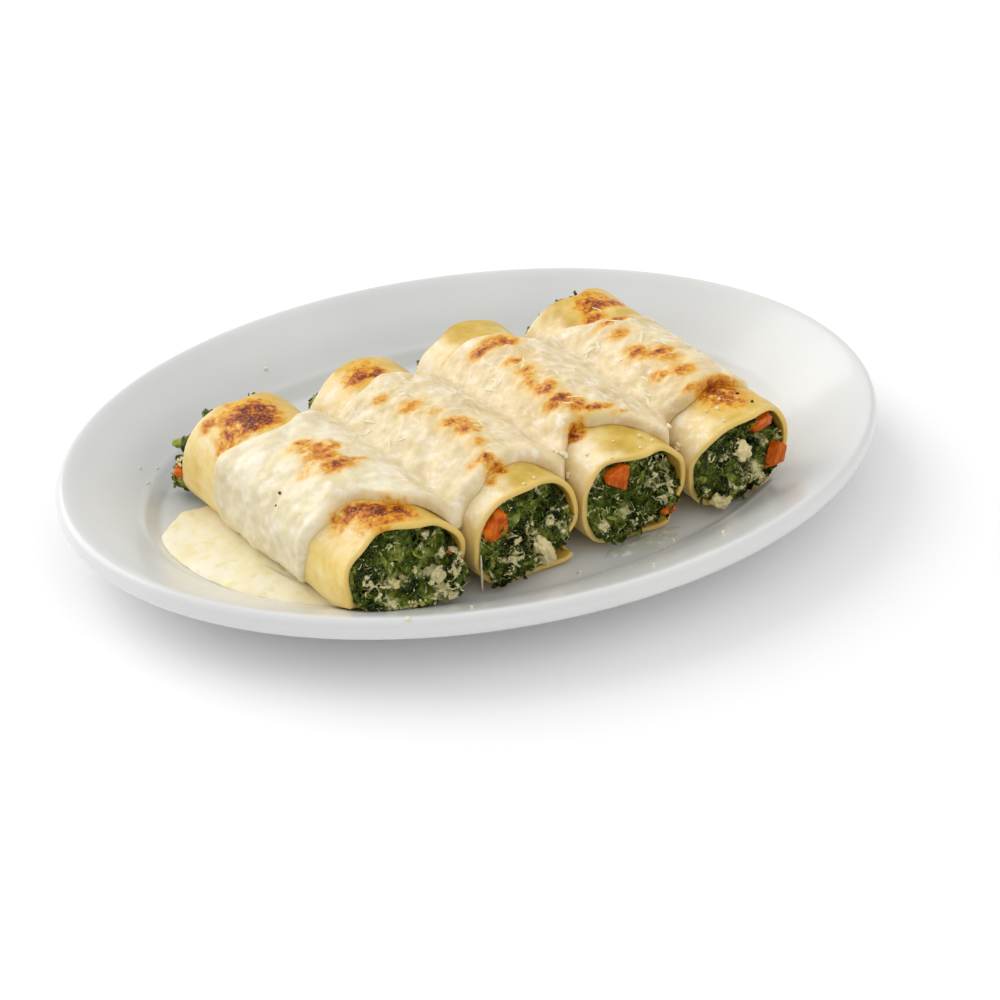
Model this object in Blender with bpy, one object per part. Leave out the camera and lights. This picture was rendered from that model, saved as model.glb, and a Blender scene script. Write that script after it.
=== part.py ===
"""Baked spinach cannelloni on an oval plate.

Four rolled pasta tubes lie side by side across the well of an oval porcelain plate.  Each holds a
spinach and ricotta filling that runs right through it and stands out a little at both ends, with
carrot dice and lumps of ricotta at the ends.  One blanket of bechamel drapes over the middle of all
four and runs down beside the first one into a pool on the plate.

Units are metres, +Z is up.  The plate's foot stands on Z = 0, X runs along the plate's long axis and
the rolls' front ends face -Y.
"""

import math

import bmesh
import bpy
import numpy as np
from mathutils import Euler, Matrix, Vector

MM = 0.001
GAP = 0.3 * MM                       # clearance between pieces that touch

# Plate
PLATE_HALF_LENGTH = 145 * MM
PLATE_HALF_WIDTH = 106 * MM
PLATE_SEGMENTS = 52
FOOT_INSET = 41.5 * MM               # from the plate's outline to the outside of the foot ring
FOOT_WIDTH = 3.5 * MM
FOOT_RECESS = 1.5 * MM
LIP_LOW = 18.0 * MM                  # the rolled lip, from its lower edge to its top
LIP_TOP = 25.7 * MM
LIP_MIDDLE = (LIP_LOW + LIP_TOP) / 2
LIP_THICKNESS = 4.6 * MM
RIM_WIDTH = 28.4 * MM
RIM_INNER_HEIGHT = 11.4 * MM
WELL_INSET = 37 * MM
WELL_FLOOR = 6.5 * MM

# Pasta tubes: (front end, rear end) of each axis on the plan, then half width and height at the
# front, the middle and the rear
PASTA_THICKNESS = 2.0 * MM
ROLLS = (
    dict(front=(-55.0, -68.5), rear=(-77.5, 19.8), half_width=(21.6, 21.0, 22.0), height=(37.0, 37.5, 38.5)),
    dict(front=(-10.8, -62.5), rear=(-32.8, 28.4), half_width=(20.2, 20.0, 21.0), height=(37.0, 37.5, 37.0)),
    dict(front=(30.3, -57.5), rear=(12.7, 40.2), half_width=(20.1, 20.0, 20.8), height=(36.0, 37.0, 35.0)),
    dict(front=(72.9, -51.4), rear=(56.6, 39.6), half_width=(20.8, 20.2, 21.2), height=(37.0, 36.5, 37.0)),
)
LOWER_FLATNESS = 2.7                 # superellipse power of a tube's lower half, 2 is a true ellipse
SHEET_START = math.radians(-84)      # the pasta sheet is rolled counterclockwise seen from the front
SHEET_END = math.radians(312)
SHEET_STEPS = 30
TUBE_STEPS = 6
INNER_LAYER = -1.2 * PASTA_THICKNESS  # how far the sheet's first turn is pressed in under the overlap
OUTER_LAYER = 0.35 * PASTA_THICKNESS  # and how far its last part stands out over it
ROLL_ENDS = (                        # overhang at the top, then an uneven wave round the cut edge;
    dict(overhang=-1.5, wave=1.2, turns=2, phase=0.4, tongue=0.0, slump=7.5, spill=6.0),
    dict(overhang=1.0, wave=0.9, turns=3, phase=1.7, tongue=6.5, slump=3.5, spill=0.0),
    dict(overhang=1.2, wave=1.1, turns=2, phase=2.6, tongue=2.0, slump=3.0, spill=0.0),
    dict(overhang=3.0, wave=1.0, turns=2, phase=3.9, tongue=0.0, slump=3.5, spill=0.5),
)                                    # the sheet's end peeling out as a tongue; the filling's slump

# Filling
FILLING_SEGMENTS = 20
FILLING_STEPS = 4
FILLING_DOME_RINGS = 3                # past each end
FILLING_RECESS = 2.2 * MM            # how far the filling stays behind the pasta's edge at the top
MOUTH_CLEARANCE = 0.9 * MM           # and how far in front of it before it spreads, lower down

# Bechamel blanket: stations run 0 at the foot of the first roll's left side, 1 to 4 over the rolls'
# crests, 5 low on the last roll's right side
BLANKET_LEFT_ANGLE = math.radians(232)
BLANKET_RIGHT_ANGLE = math.radians(-10)
BLANKET_THICKNESS = 3.2 * MM
BLANKET_EDGE = 1.5 * MM
BLANKET_SOFTNESS = 4.0 * MM          # blend radius of the outer surface where two rolls meet
BLANKET_CLEARANCE = OUTER_LAYER + GAP
VALLEY_TOP = 0.50                    # outer surface between rolls, as a share of a roll's half height
VALLEY_BOTTOM = 0.30                 # inner surface between rolls
BLANKET_ROWS = 9
BLANKET_COLUMNS_SIDE = 7
BLANKET_COLUMNS_ROLL = 8
FRONT_EDGE = (                       # (station, distance behind the roll's front end in mm)
    (0.0, 32), (0.4, 21), (0.65, 15.5), (0.85, 14.5), (1.0, 6), (1.25, 2), (1.5, 1), (1.75, 6.5),
    (1.9, 7.5), (2.15, 1.5), (2.4, 2), (2.7, 15), (2.85, 13.5), (3.1, 3), (3.35, 2.5), (3.55, 9),
    (3.8, 9.5), (4.0, 11.5), (4.2, 7), (5.0, 14),
)
REAR_EDGE = (
    (0.0, 71), (0.6, 72), (0.95, 64.5), (1.3, 71), (1.75, 74.5), (2.0, 76), (2.2, 70.5), (2.6, 83.5),
    (3.0, 80), (3.2, 73), (3.5, 81), (3.8, 70), (4.3, 66), (5.0, 62),
)

# Pool of sauce beside the first roll
POOL_LEVEL = WELL_FLOOR + 2.2 * MM
POOL_INSET = 31.5 * MM               # it reaches this far up the wall of the well
POOL_TURN = (math.radians(172), math.radians(228))   # round the plate, from its rear to its front
POOL_REAR_BULGE = 6.0 * MM
POOL_ALONG_ROLL = (0.17, 0.92)
POOL_UNDER_ROLL = 16.5 * MM          # its inner edge, from the first roll's axis

# Carrot dice and ricotta lumps set in the front ends: roll, place across the end and above the
# plate in mm, how far it stands proud of the end, size, turn in degrees
CARROTS = (
    dict(roll=1, across=-10.8, height=31.4, proud=0.4, size=(7.4, 5.0, 7.4), turn=(4, -20, 6)),
    dict(roll=2, across=-6.4, height=32.4, proud=0.6, size=(7.6, 5.0, 7.0), turn=(-6, 26, -8)),
    dict(roll=3, across=8.4, height=31.8, proud=0.0, size=(7.6, 5.0, 6.2), turn=(6, -14, 10)),
    dict(roll=3, across=13.8, height=20.0, proud=4.8, size=(6.6, 5.0, 8.6), turn=(0, 16, 14)),
)
RICOTTA_LUMPS = (
    dict(roll=1, across=4.0, height=15.2, proud=3.8, size=(6.0, 4.6, 12.0), turn=(6, -26, 0)),
    dict(roll=3, across=-0.6, height=26.4, proud=1.6, size=(7.2, 4.4, 8.0), turn=(0, -38, 0)),
    dict(roll=3, across=-10.6, height=12.6, proud=4.6, size=(7.4, 5.0, 5.6), turn=(0, 22, 0)),
)

COLOURS = {                          # base colour, roughness
    "porcelain": ((0.86, 0.87, 0.86), 0.18),
    "pasta": ((0.83, 0.66, 0.30), 0.45),
    "filling": ((0.09, 0.15, 0.05), 0.55),
    "bechamel": ((0.87, 0.79, 0.62), 0.40),
    "carrot": ((0.75, 0.22, 0.02), 0.40),
    "ricotta": ((0.80, 0.72, 0.48), 0.60),
}


def clear_scene():
    for item in list(bpy.data.objects):
        bpy.data.objects.remove(item, do_unlink=True)


def material(name):
    colour, roughness = COLOURS[name]
    made = bpy.data.materials.new(name)
    made.use_nodes = True
    shader = made.node_tree.nodes["Principled BSDF"]
    shader.inputs["Base Color"].default_value = (*colour, 1)
    shader.inputs["Roughness"].default_value = roughness
    return made


def add_object(name, mesh, finish, collection):
    """Links a mesh as a named object, shaded smooth but for its real edges."""
    mesh.shade_smooth()
    mesh.set_sharp_from_angle(angle=math.radians(40))
    mesh.materials.append(finish)
    made = bpy.data.objects.new(name, mesh)
    collection.objects.link(made)
    return made


def loft(name, rings):
    """A closed body through rings of equal length, each counterclockwise seen from the next one's
    far side, with a fan from a centre point over the first and the last ring."""
    mesh = bmesh.new()
    loops = [[mesh.verts.new(point) for point in ring] for ring in rings]
    count = len(loops[0])
    for near, far in zip(loops, loops[1:]):
        for k in range(count):
            mesh.faces.new((near[k], near[(k + 1) % count], far[(k + 1) % count], far[k]))
    for loop in (loops[0], loops[-1]):
        centre = mesh.verts.new(sum((v.co for v in loop), Vector()) / count)
        for k in range(count):
            mesh.faces.new((loop[k], loop[(k + 1) % count], centre))
    bmesh.ops.recalc_face_normals(mesh, faces=mesh.faces)
    data = bpy.data.meshes.new(name)
    mesh.to_mesh(data)
    mesh.free()
    return data


def smooth_step(low, high, value):
    share = np.clip((value - low) / (high - low), 0, 1)
    return share * share * (3 - 2 * share)


def through_points(points, value):
    """A curve through (position, value) pairs, level at each one's mean slope (cubic Hermite)."""
    places, levels = np.array(points, float).T
    slopes = np.gradient(levels, places)
    k = int(np.clip(np.searchsorted(places, value) - 1, 0, len(places) - 2))
    width = places[k + 1] - places[k]
    s = (value - places[k]) / width
    return (
        (2 * s**3 - 3 * s**2 + 1) * levels[k]
        + (s**3 - 2 * s**2 + s) * width * slopes[k]
        + (3 * s**2 - 2 * s**3) * levels[k + 1]
        + (s**3 - s**2) * width * slopes[k + 1]
    )


# ---------------------------------------------------------------------------------------- plate


def plate_profile():
    """(inset from the outline, height), from the middle of the underside round the lip to the well."""
    foot_inner = FOOT_INSET + FOOT_WIDTH
    bulge = LIP_THICKNESS / 2
    return (
        (foot_inner + 1.5 * MM, FOOT_RECESS),
        (foot_inner, 0.0),
        (FOOT_INSET, 0.0),
        (FOOT_INSET - 3 * MM, 3.0 * MM),
        (RIM_WIDTH + 2 * MM, 5.8 * MM),
        (14 * MM, 12.6 * MM),
        (6 * MM, 16.4 * MM),
        (bulge, LIP_LOW),
        (0.5 * MM, LIP_LOW + 1.6 * MM),
        (0.0, LIP_MIDDLE),
        (0.6 * MM, LIP_TOP - 1.4 * MM),
        (bulge, LIP_TOP),
        (LIP_THICKNESS, LIP_TOP - 0.6 * MM),
        (9 * MM, LIP_TOP - 3.0 * MM),
        (18 * MM, (LIP_TOP + RIM_INNER_HEIGHT) / 2 - 1.0 * MM),
        (RIM_WIDTH - 2.4 * MM, RIM_INNER_HEIGHT + 1.0 * MM),
        (RIM_WIDTH, RIM_INNER_HEIGHT - 0.3 * MM),
        (RIM_WIDTH + 2.2 * MM, RIM_INNER_HEIGHT - 2.2 * MM),
        (RIM_WIDTH + 4.8 * MM, WELL_FLOOR + 0.8 * MM),
        (WELL_INSET, WELL_FLOOR),
    )


def plate_height(x, y):
    """Height of the plate's upper surface at a point of the plan."""
    insets, heights = zip(*plate_profile()[-8:])
    inset = plate_inset(x, y)
    return float(np.interp(inset, insets, heights))


def plate_inset(x, y):
    """The inset whose ellipse passes through the point, by bisection."""
    low, high = 0.0, PLATE_HALF_WIDTH * 0.98
    for _ in range(24):
        middle = (low + high) / 2
        reach = math.hypot(x / (PLATE_HALF_LENGTH - middle), y / (PLATE_HALF_WIDTH - middle))
        low, high = (middle, high) if reach < 1 else (low, middle)
    return low


def build_plate(finish, collection):
    rings = []
    for inset, height in plate_profile():
        rings.append([
            Vector((
                (PLATE_HALF_LENGTH - inset) * math.cos(turn),
                (PLATE_HALF_WIDTH - inset) * math.sin(turn),
                height,
            ))
            for turn in np.linspace(0, 2 * math.pi, PLATE_SEGMENTS, endpoint=False)
        ])
    return add_object("plate", loft("plate", rings), finish, collection)


# ---------------------------------------------------------------------------------------- rolls


class Roll:
    """One cannellone: its axis on the plan and its cross-section along it."""

    def __init__(self, index):
        given = ROLLS[index]
        self.index = index
        self.name = index + 1
        self.ends = ROLL_ENDS[index]
        self.front = Vector(given["front"]) * MM
        self.rear = Vector(given["rear"]) * MM
        self.length = (self.rear - self.front).length
        self.along = (self.rear - self.front) / self.length
        self.across = Vector((self.along.y, -self.along.x))
        self.widths = [w * MM for w in given["half_width"]]
        self.heights = [h * MM for h in given["height"]]

    @staticmethod
    def blend(values, share):
        """The middle value, easing out to the end values over the last third of the length."""
        front, middle, rear = values
        return (
            middle
            + (front - middle) * (1 - smooth_step(0.0, 0.4, share))
            + (rear - middle) * smooth_step(0.6, 1.0, share)
        )

    def half_width(self, share):
        return float(self.blend(self.widths, share))

    def half_height(self, share):
        return float(self.blend(self.heights, share)) / 2

    def middle_height(self, share):
        return WELL_FLOOR + self.half_height(share)

    def axis(self, share):
        return self.front + self.along * self.length * share

    def point(self, share, angle, offset=0.0, shift=0.0, sideways=0.0):
        """On the tube's outer skin, pushed out by offset, along the axis by shift and across it.
        The tube's underside lies flat on the plate, the layers keeping their order."""
        side, rise = math.cos(angle), math.sin(angle)
        power = 1.0 if rise >= 0 else 2 / LOWER_FLATNESS
        side = math.copysign(abs(side) ** power, side) * (self.half_width(share) + offset)
        rise = math.copysign(abs(rise) ** power, rise) * (self.half_height(share) + offset)
        place = self.axis(share) + self.along * shift + self.across * (side + sideways)
        rest = plate_height(place.x, place.y) + GAP + max(0.0, OUTER_LAYER - offset)
        return Vector((place.x, place.y, max(self.middle_height(share) + rise, rest)))

    def edge_shift(self, angle):
        """How far the pasta's cut edge stands beyond the end of the axis at this angle."""
        ends = self.ends
        wave = ends["wave"] * math.cos(ends["turns"] * angle + ends["phase"])
        return (ends["overhang"] * max(0.0, math.sin(angle)) + wave) * MM

    def tongue(self, angle):
        """How far the sheet's outer end reaches forward at the front end, as a rounded tongue."""
        return self.ends["tongue"] * MM * smooth_step(SHEET_END - 0.75, SHEET_END - 0.15, angle)


def layer_offset(angle):
    """Where the rolled sheet lies against the tube's skin: under itself at its start, on top of
    itself at its end."""
    start = (1 - smooth_step(SHEET_START + 0.7, SHEET_START + 1.4, angle)) * INNER_LAYER
    end = smooth_step(SHEET_END - 1.4, SHEET_END - 0.7, angle) * OUTER_LAYER
    return start + end


def shell(name, inner, outer):
    """A closed body between two grids of points of the same size."""
    columns, rows = len(inner), len(inner[0])
    mesh = bmesh.new()
    low, high = ([[mesh.verts.new(p) for p in column] for column in grid] for grid in (inner, outer))
    for grid in (low, high):
        for i in range(columns - 1):
            for j in range(rows - 1):
                mesh.faces.new((grid[i][j], grid[i + 1][j], grid[i + 1][j + 1], grid[i][j + 1]))
    rim = [(i, 0) for i in range(columns)] + [(columns - 1, j) for j in range(1, rows)]
    rim += [(i, rows - 1) for i in range(columns - 2, -1, -1)] + [(0, j) for j in range(rows - 2, 0, -1)]
    for (i, j), (m, n) in zip(rim, rim[1:] + rim[:1]):
        mesh.faces.new((low[i][j], low[m][n], high[m][n], high[i][j]))
    bmesh.ops.recalc_face_normals(mesh, faces=mesh.faces)
    data = bpy.data.meshes.new(name)
    mesh.to_mesh(data)
    mesh.free()
    return data


def build_pasta(roll, finish, collection):
    """The sheet rolled into a tube: its two faces, joined round the cut edges."""
    grids = {0.0: [], PASTA_THICKNESS: []}
    for depth, grid in grids.items():
        for angle in np.linspace(SHEET_START, SHEET_END, SHEET_STEPS + 1):
            column = []
            for share in np.linspace(0, 1, TUBE_STEPS + 1):
                ease = (2 * share - 1) ** 5
                near_front = max(0.0, 1 - 3 * share) ** 2
                shift = roll.edge_shift(angle) * ease - roll.tongue(angle) * near_front
                sideways = 0.6 * roll.tongue(angle) * near_front
                offset = layer_offset(angle) - depth
                column.append(roll.point(share, angle, offset, shift, sideways))
            grid.append(column)
    name = f"pasta_{roll.name}"
    return add_object(name, shell(name, grids[PASTA_THICKNESS], grids[0.0]), finish, collection)


def filling_offset(angle):
    """The filling keeps clear of the sheet, and of its first turn where that lies inside."""
    return min(layer_offset(angle), 0.0) - PASTA_THICKNESS - GAP


def filling_ring(roll, share, direction=0, stage=0.0):
    """One ring of the filling.  Inside the tube the stage is 0.  Past an end it runs from 0 at the
    mouth to 1 at the tip: the ring closes in while its lower part slumps out over the pasta's edge."""
    turn = 1.3 * stage
    scale, reach = math.cos(turn), roll.ends["slump"] * MM * math.sin(turn)
    middle = roll.axis(share)
    centre = Vector((middle.x, middle.y, roll.middle_height(share) - 0.45 * roll.half_height(share)))
    ring = []
    for k in range(FILLING_SEGMENTS):
        angle = SHEET_START + 2 * math.pi * k / FILLING_SEGMENTS
        skin = roll.point(share, angle, filling_offset(angle))
        low = smooth_step(0.2, 0.8, (1 - math.sin(angle)) / 2)
        out = reach - FILLING_RECESS * (1 - low) + (roll.edge_shift(angle) + MOUTH_CLEARANCE) * low
        spill = roll.ends["spill"] * MM * smooth_step(0.1, 0.5, stage) * smooth_step(-0.6, 0.6, math.cos(angle))
        point = centre + (skin - centre) * scale
        if direction:
            point.xy += roll.along * out * direction
        if direction < 0:
            point.xy += roll.across * spill * low
        rest = plate_height(point.x, point.y) + GAP + OUTER_LAYER + PASTA_THICKNESS
        point.z = max(point.z, rest)
        ring.append(point)
    return ring


def build_filling(roll, finish, collection):
    stages = np.linspace(0, 1, FILLING_DOME_RINGS + 1)
    rings = [filling_ring(roll, 0.0, -1, stage) for stage in stages[::-1]]
    rings += [filling_ring(roll, share) for share in np.linspace(0, 1, FILLING_STEPS)[1:-1]]
    rings += [filling_ring(roll, 1.0, 1, 0.8 * stage) for stage in stages]
    name = f"filling_{roll.name}"
    return add_object(name, loft(name, rings), finish, collection)


# ------------------------------------------------------------------------------------- blanket


def blanket_point(rolls, station, distance, outer):
    """A point of the blanket's outer or inner surface.  The distance is measured from the rolls'
    front ends along them, in metres."""
    grow = BLANKET_CLEARANCE + (BLANKET_THICKNESS if outer else 0.0)
    crest = math.pi / 2
    if station <= 1:
        roll, angle = rolls[0], BLANKET_LEFT_ANGLE + (crest - BLANKET_LEFT_ANGLE) * station
        point = roll.point(distance / roll.length, angle, grow)
        point.z = max(point.z, POOL_LEVEL + 2 * GAP)
        return point
    if station >= 4:
        roll, angle = rolls[-1], crest + (BLANKET_RIGHT_ANGLE - crest) * (station - 4)
        return roll.point(distance / roll.length, angle, grow)
    left = min(int(station), 3) - 1
    share = station - 1 - left
    near, far = rolls[left], rolls[left + 1]
    start, end = near.axis(distance / near.length), far.axis(distance / far.length)
    place = start.lerp(end, share)
    span = (end - start).length
    part = distance / near.length
    heights = [
        near.middle_height(part) + near.half_height(part) * (VALLEY_TOP if outer else VALLEY_BOTTOM)
    ]
    for roll, off in ((near, share * span), (far, (1 - share) * span)):
        part = distance / roll.length
        level = max(0.0, 1 - (off / (roll.half_width(part) + grow)) ** 2)
        heights.append(roll.middle_height(part) + (roll.half_height(part) + grow) * math.sqrt(level))
    height = max(heights)
    if outer:
        total = sum(math.exp((h - height) / BLANKET_SOFTNESS) for h in heights)
        away_from_crest = 1 - abs(2 * share - 1) ** 4
        height += BLANKET_SOFTNESS * math.log(total) * away_from_crest
    return Vector((place.x, place.y, height))


def build_blanket(rolls, finish, collection):
    """The blanket's underside follows the rolls, its top bridges the valleys between them."""
    stations = np.concatenate([
        np.linspace(0, 1, BLANKET_COLUMNS_SIDE, endpoint=False),
        np.linspace(1, 4, 3 * BLANKET_COLUMNS_ROLL, endpoint=False),
        np.linspace(4, 5, BLANKET_COLUMNS_SIDE),
    ])
    under, top = [], []
    for station in stations:
        front = through_points(FRONT_EDGE, station) * MM
        rear = through_points(REAR_EDGE, station) * MM
        rows = np.linspace(front, rear, BLANKET_ROWS)
        under.append([blanket_point(rolls, station, row, False) for row in rows])
        top.append([blanket_point(rolls, station, row, True) for row in rows])
        at_side = station in (0.0, 5.0)
        for k in range(BLANKET_ROWS) if at_side else (0, BLANKET_ROWS - 1):
            rise = top[-1][k] - under[-1][k]
            top[-1][k] = under[-1][k] + rise.normalized() * BLANKET_EDGE
    return add_object("bechamel", shell("bechamel", under, top), finish, collection)


# ---------------------------------------------------------------------------------------- pool


def pool_outline(roll):
    """Round the wall of the well, then back along the foot of the first roll."""
    turns = np.linspace(*POOL_TURN, 10)
    outline = [
        Vector((
            (PLATE_HALF_LENGTH - POOL_INSET) * math.cos(turn),
            (PLATE_HALF_WIDTH - POOL_INSET) * math.sin(turn),
        ))
        for turn in turns
    ]
    outline += [
        roll.axis(share) - roll.across * POOL_UNDER_ROLL
        for share in np.linspace(*POOL_ALONG_ROLL, 9)
    ]
    start, end = outline[-1], outline[0]
    for share in (0.3, 0.6, 0.85):
        bulge = roll.along * POOL_REAR_BULGE * math.sin(math.pi * share)
        outline.append(start.lerp(end, share) + bulge)
    return outline


def build_pool(rolls, finish, collection):
    """The sauce that has run off the first roll: a rounded edge and a nearly level top."""
    outline = pool_outline(rolls[0])
    centre = sum(outline, Vector((0, 0))) / len(outline)
    sections = ((0.0, 0.6), (0.0, 0.98), (0.5, 1.0), (1.0, 0.96), (1.15, 0.8), (1.2, 0.4))
    rings = []
    for level, scale in sections:
        ring = []
        for point in outline:
            place = centre + (point - centre) * scale
            bottom = plate_height(place.x, place.y) + GAP
            depth = max(POOL_LEVEL - 0.4 * MM - bottom, 0.8 * MM)
            ring.append(Vector((place.x, place.y, min(bottom + depth * level, POOL_LEVEL + 1.2 * MM))))
        rings.append(ring)
    return add_object("sauce_pool", loft("sauce_pool", rings), finish, collection)


# ------------------------------------------------------------------------------- end garnishes


def rounded_block(bevel, taper, segments):
    """A block one unit across with bevelled edges, its top narrower than its foot."""
    mesh = bmesh.new()
    bmesh.ops.create_cube(mesh, size=1)
    for vert in mesh.verts:
        if vert.co.z > 0:
            vert.co.x *= 1 - taper
            vert.co.y *= 1 - taper
    bmesh.ops.bevel(
        mesh, geom=mesh.edges[:], offset=bevel, segments=segments, affect="EDGES", profile=0.5
    )
    return mesh


def carrot_die():
    """Cooked carrot: a slightly tapered block with its edges worn round."""
    return rounded_block(0.12, 0.10, 1)


def ricotta_pebble():
    """A lump of ricotta: a block so rounded that it is nearly a pebble."""
    return rounded_block(0.30, 0.16, 2)


def lump_mesh(name, block, given, roll, margin):
    """The block at its size and place in the roll's front end, grown all round by the margin."""
    turn = Euler([math.radians(a) for a in given["turn"]]).to_matrix()
    facing = Matrix.Rotation(math.atan2(roll.across.y, roll.across.x), 3, "Z")
    place = roll.front + roll.across * given["across"] * MM - roll.along * given["proud"] * MM
    spot = Vector((place.x, place.y, given["height"] * MM))
    for vert in block.verts:
        sized = Vector((size * MM + 2 * margin) * c for size, c in zip(given["size"], vert.co))
        vert.co = spot + facing @ (turn @ sized)
    bmesh.ops.recalc_face_normals(block, faces=block.faces)
    data = bpy.data.meshes.new(name)
    block.to_mesh(data)
    block.free()
    return data


def build_lump(name, shape, given, rolls, finish, collection, cutters):
    """A lump, and the seat it lies in, cut from the filling."""
    roll = rolls[given["roll"]]
    add_object(name, lump_mesh(name, shape(), given, roll, 0.0), finish, collection)
    seat = bpy.data.objects.new(f"seat of {name}", lump_mesh(name, shape(), given, roll, GAP))
    seat.hide_render = True
    cutters.objects.link(seat)
    cut = bpy.data.objects[f"filling_{roll.name}"].modifiers.new(seat.name, "BOOLEAN")
    cut.operation = "DIFFERENCE"
    cut.solver = "EXACT"
    cut.object = seat


def main():
    clear_scene()
    collection = bpy.data.collections.new("cannelloni")
    cutters = bpy.data.collections.new("cutters")
    for made in (collection, cutters):
        bpy.context.scene.collection.children.link(made)
    finishes = {name: material(name) for name in COLOURS}
    rolls = [Roll(k) for k in range(len(ROLLS))]
    build_plate(finishes["porcelain"], collection)
    for roll in rolls:
        build_pasta(roll, finishes["pasta"], collection)
        build_filling(roll, finishes["filling"], collection)
    build_blanket(rolls, finishes["bechamel"], collection)
    build_pool(rolls, finishes["bechamel"], collection)
    for number, given in enumerate(CARROTS, 1):
        build_lump(f"carrot_{number}", carrot_die, given, rolls, finishes["carrot"], collection, cutters)
    for number, given in enumerate(RICOTTA_LUMPS, 1):
        name = f"ricotta_{number}"
        build_lump(name, ricotta_pebble, given, rolls, finishes["ricotta"], collection, cutters)


main()
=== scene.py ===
"""The looks of four baked spinach cannelloni on their oval plate.

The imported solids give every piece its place.  Each is replaced by a finer piece of the same form:
a glazed plate, rolled pasta sheets with browned blisters, a spinach filling of chopped leaves, curd
and cream threads, a bechamel blanket with melted cheese shreds, and the pool it has run into.

Lengths are millimetres until a mesh is made.  X runs along the plate's long axis, the rolls' front
ends face -Y and +Z is up.
"""

import math

import bmesh
import bpy
import numpy as np
from mathutils import Euler, Matrix, Vector
from mathutils.bvhtree import BVHTree


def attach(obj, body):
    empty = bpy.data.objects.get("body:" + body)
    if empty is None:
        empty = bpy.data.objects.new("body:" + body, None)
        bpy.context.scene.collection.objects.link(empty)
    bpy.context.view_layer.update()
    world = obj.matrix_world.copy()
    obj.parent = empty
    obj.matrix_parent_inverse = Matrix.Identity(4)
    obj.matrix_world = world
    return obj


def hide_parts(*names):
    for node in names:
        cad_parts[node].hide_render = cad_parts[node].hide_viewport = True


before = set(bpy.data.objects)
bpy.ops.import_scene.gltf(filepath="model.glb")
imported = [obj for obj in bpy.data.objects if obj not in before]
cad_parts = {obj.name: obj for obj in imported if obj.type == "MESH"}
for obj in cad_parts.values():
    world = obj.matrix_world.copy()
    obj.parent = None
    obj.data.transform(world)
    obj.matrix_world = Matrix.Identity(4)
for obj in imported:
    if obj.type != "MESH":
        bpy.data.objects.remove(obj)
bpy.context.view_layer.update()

MM = 0.001
GAP = 0.3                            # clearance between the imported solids
CHANCE = np.random.default_rng(20)

# ---------------------------------------------------------------------------------------- sizes

# Plate: inset from the outline and height, from the middle of the underside to the well
PLATE_HALF_LENGTH = 145
PLATE_HALF_WIDTH = 106
PLATE_PROFILE = (
    (46.5, 1.5), (45, 0), (41.5, 0), (38.5, 3), (30.4, 5.8), (14, 12.6), (6, 16.4), (2.3, 18), (0.5, 19.6),
    (0, 21.85), (0.6, 24.3), (2.3, 25.7), (4.6, 25.1), (9, 22.7), (18, 17.55), (26, 12.4), (28.4, 11.1),
    (30.6, 9.2), (33.2, 7.3), (37, 6.5),
)
WELL_FLOOR = 6.5

# Pasta tubes: both ends of each axis on the plan, half width and height at front, middle and rear
PASTA_THICKNESS = 2.0
ROLLS = (
    dict(front=(-55.0, -68.5), rear=(-77.5, 19.8), half_width=(21.6, 21.0, 22.0), height=(37.0, 37.5, 38.5)),
    dict(front=(-10.8, -62.5), rear=(-32.8, 28.4), half_width=(20.2, 20.0, 21.0), height=(37.0, 37.5, 37.0)),
    dict(front=(30.3, -57.5), rear=(12.7, 40.2), half_width=(20.1, 20.0, 20.8), height=(36.0, 37.0, 35.0)),
    dict(front=(72.9, -51.4), rear=(56.6, 39.6), half_width=(20.8, 20.2, 21.2), height=(37.0, 36.5, 37.0)),
)
LOWER_FLATNESS = (2.7, 2.2)          # 2 is round; on the left and on the right
SHEET_START = math.radians(-84)
SHEET_END = math.radians(312)
UNEVEN_SEAM = math.radians(22)       # how the sheet's outer end wanders along the roll
INNER_LAYER = -1.2 * PASTA_THICKNESS
OUTER_LAYER = 0.35 * PASTA_THICKNESS
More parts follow.
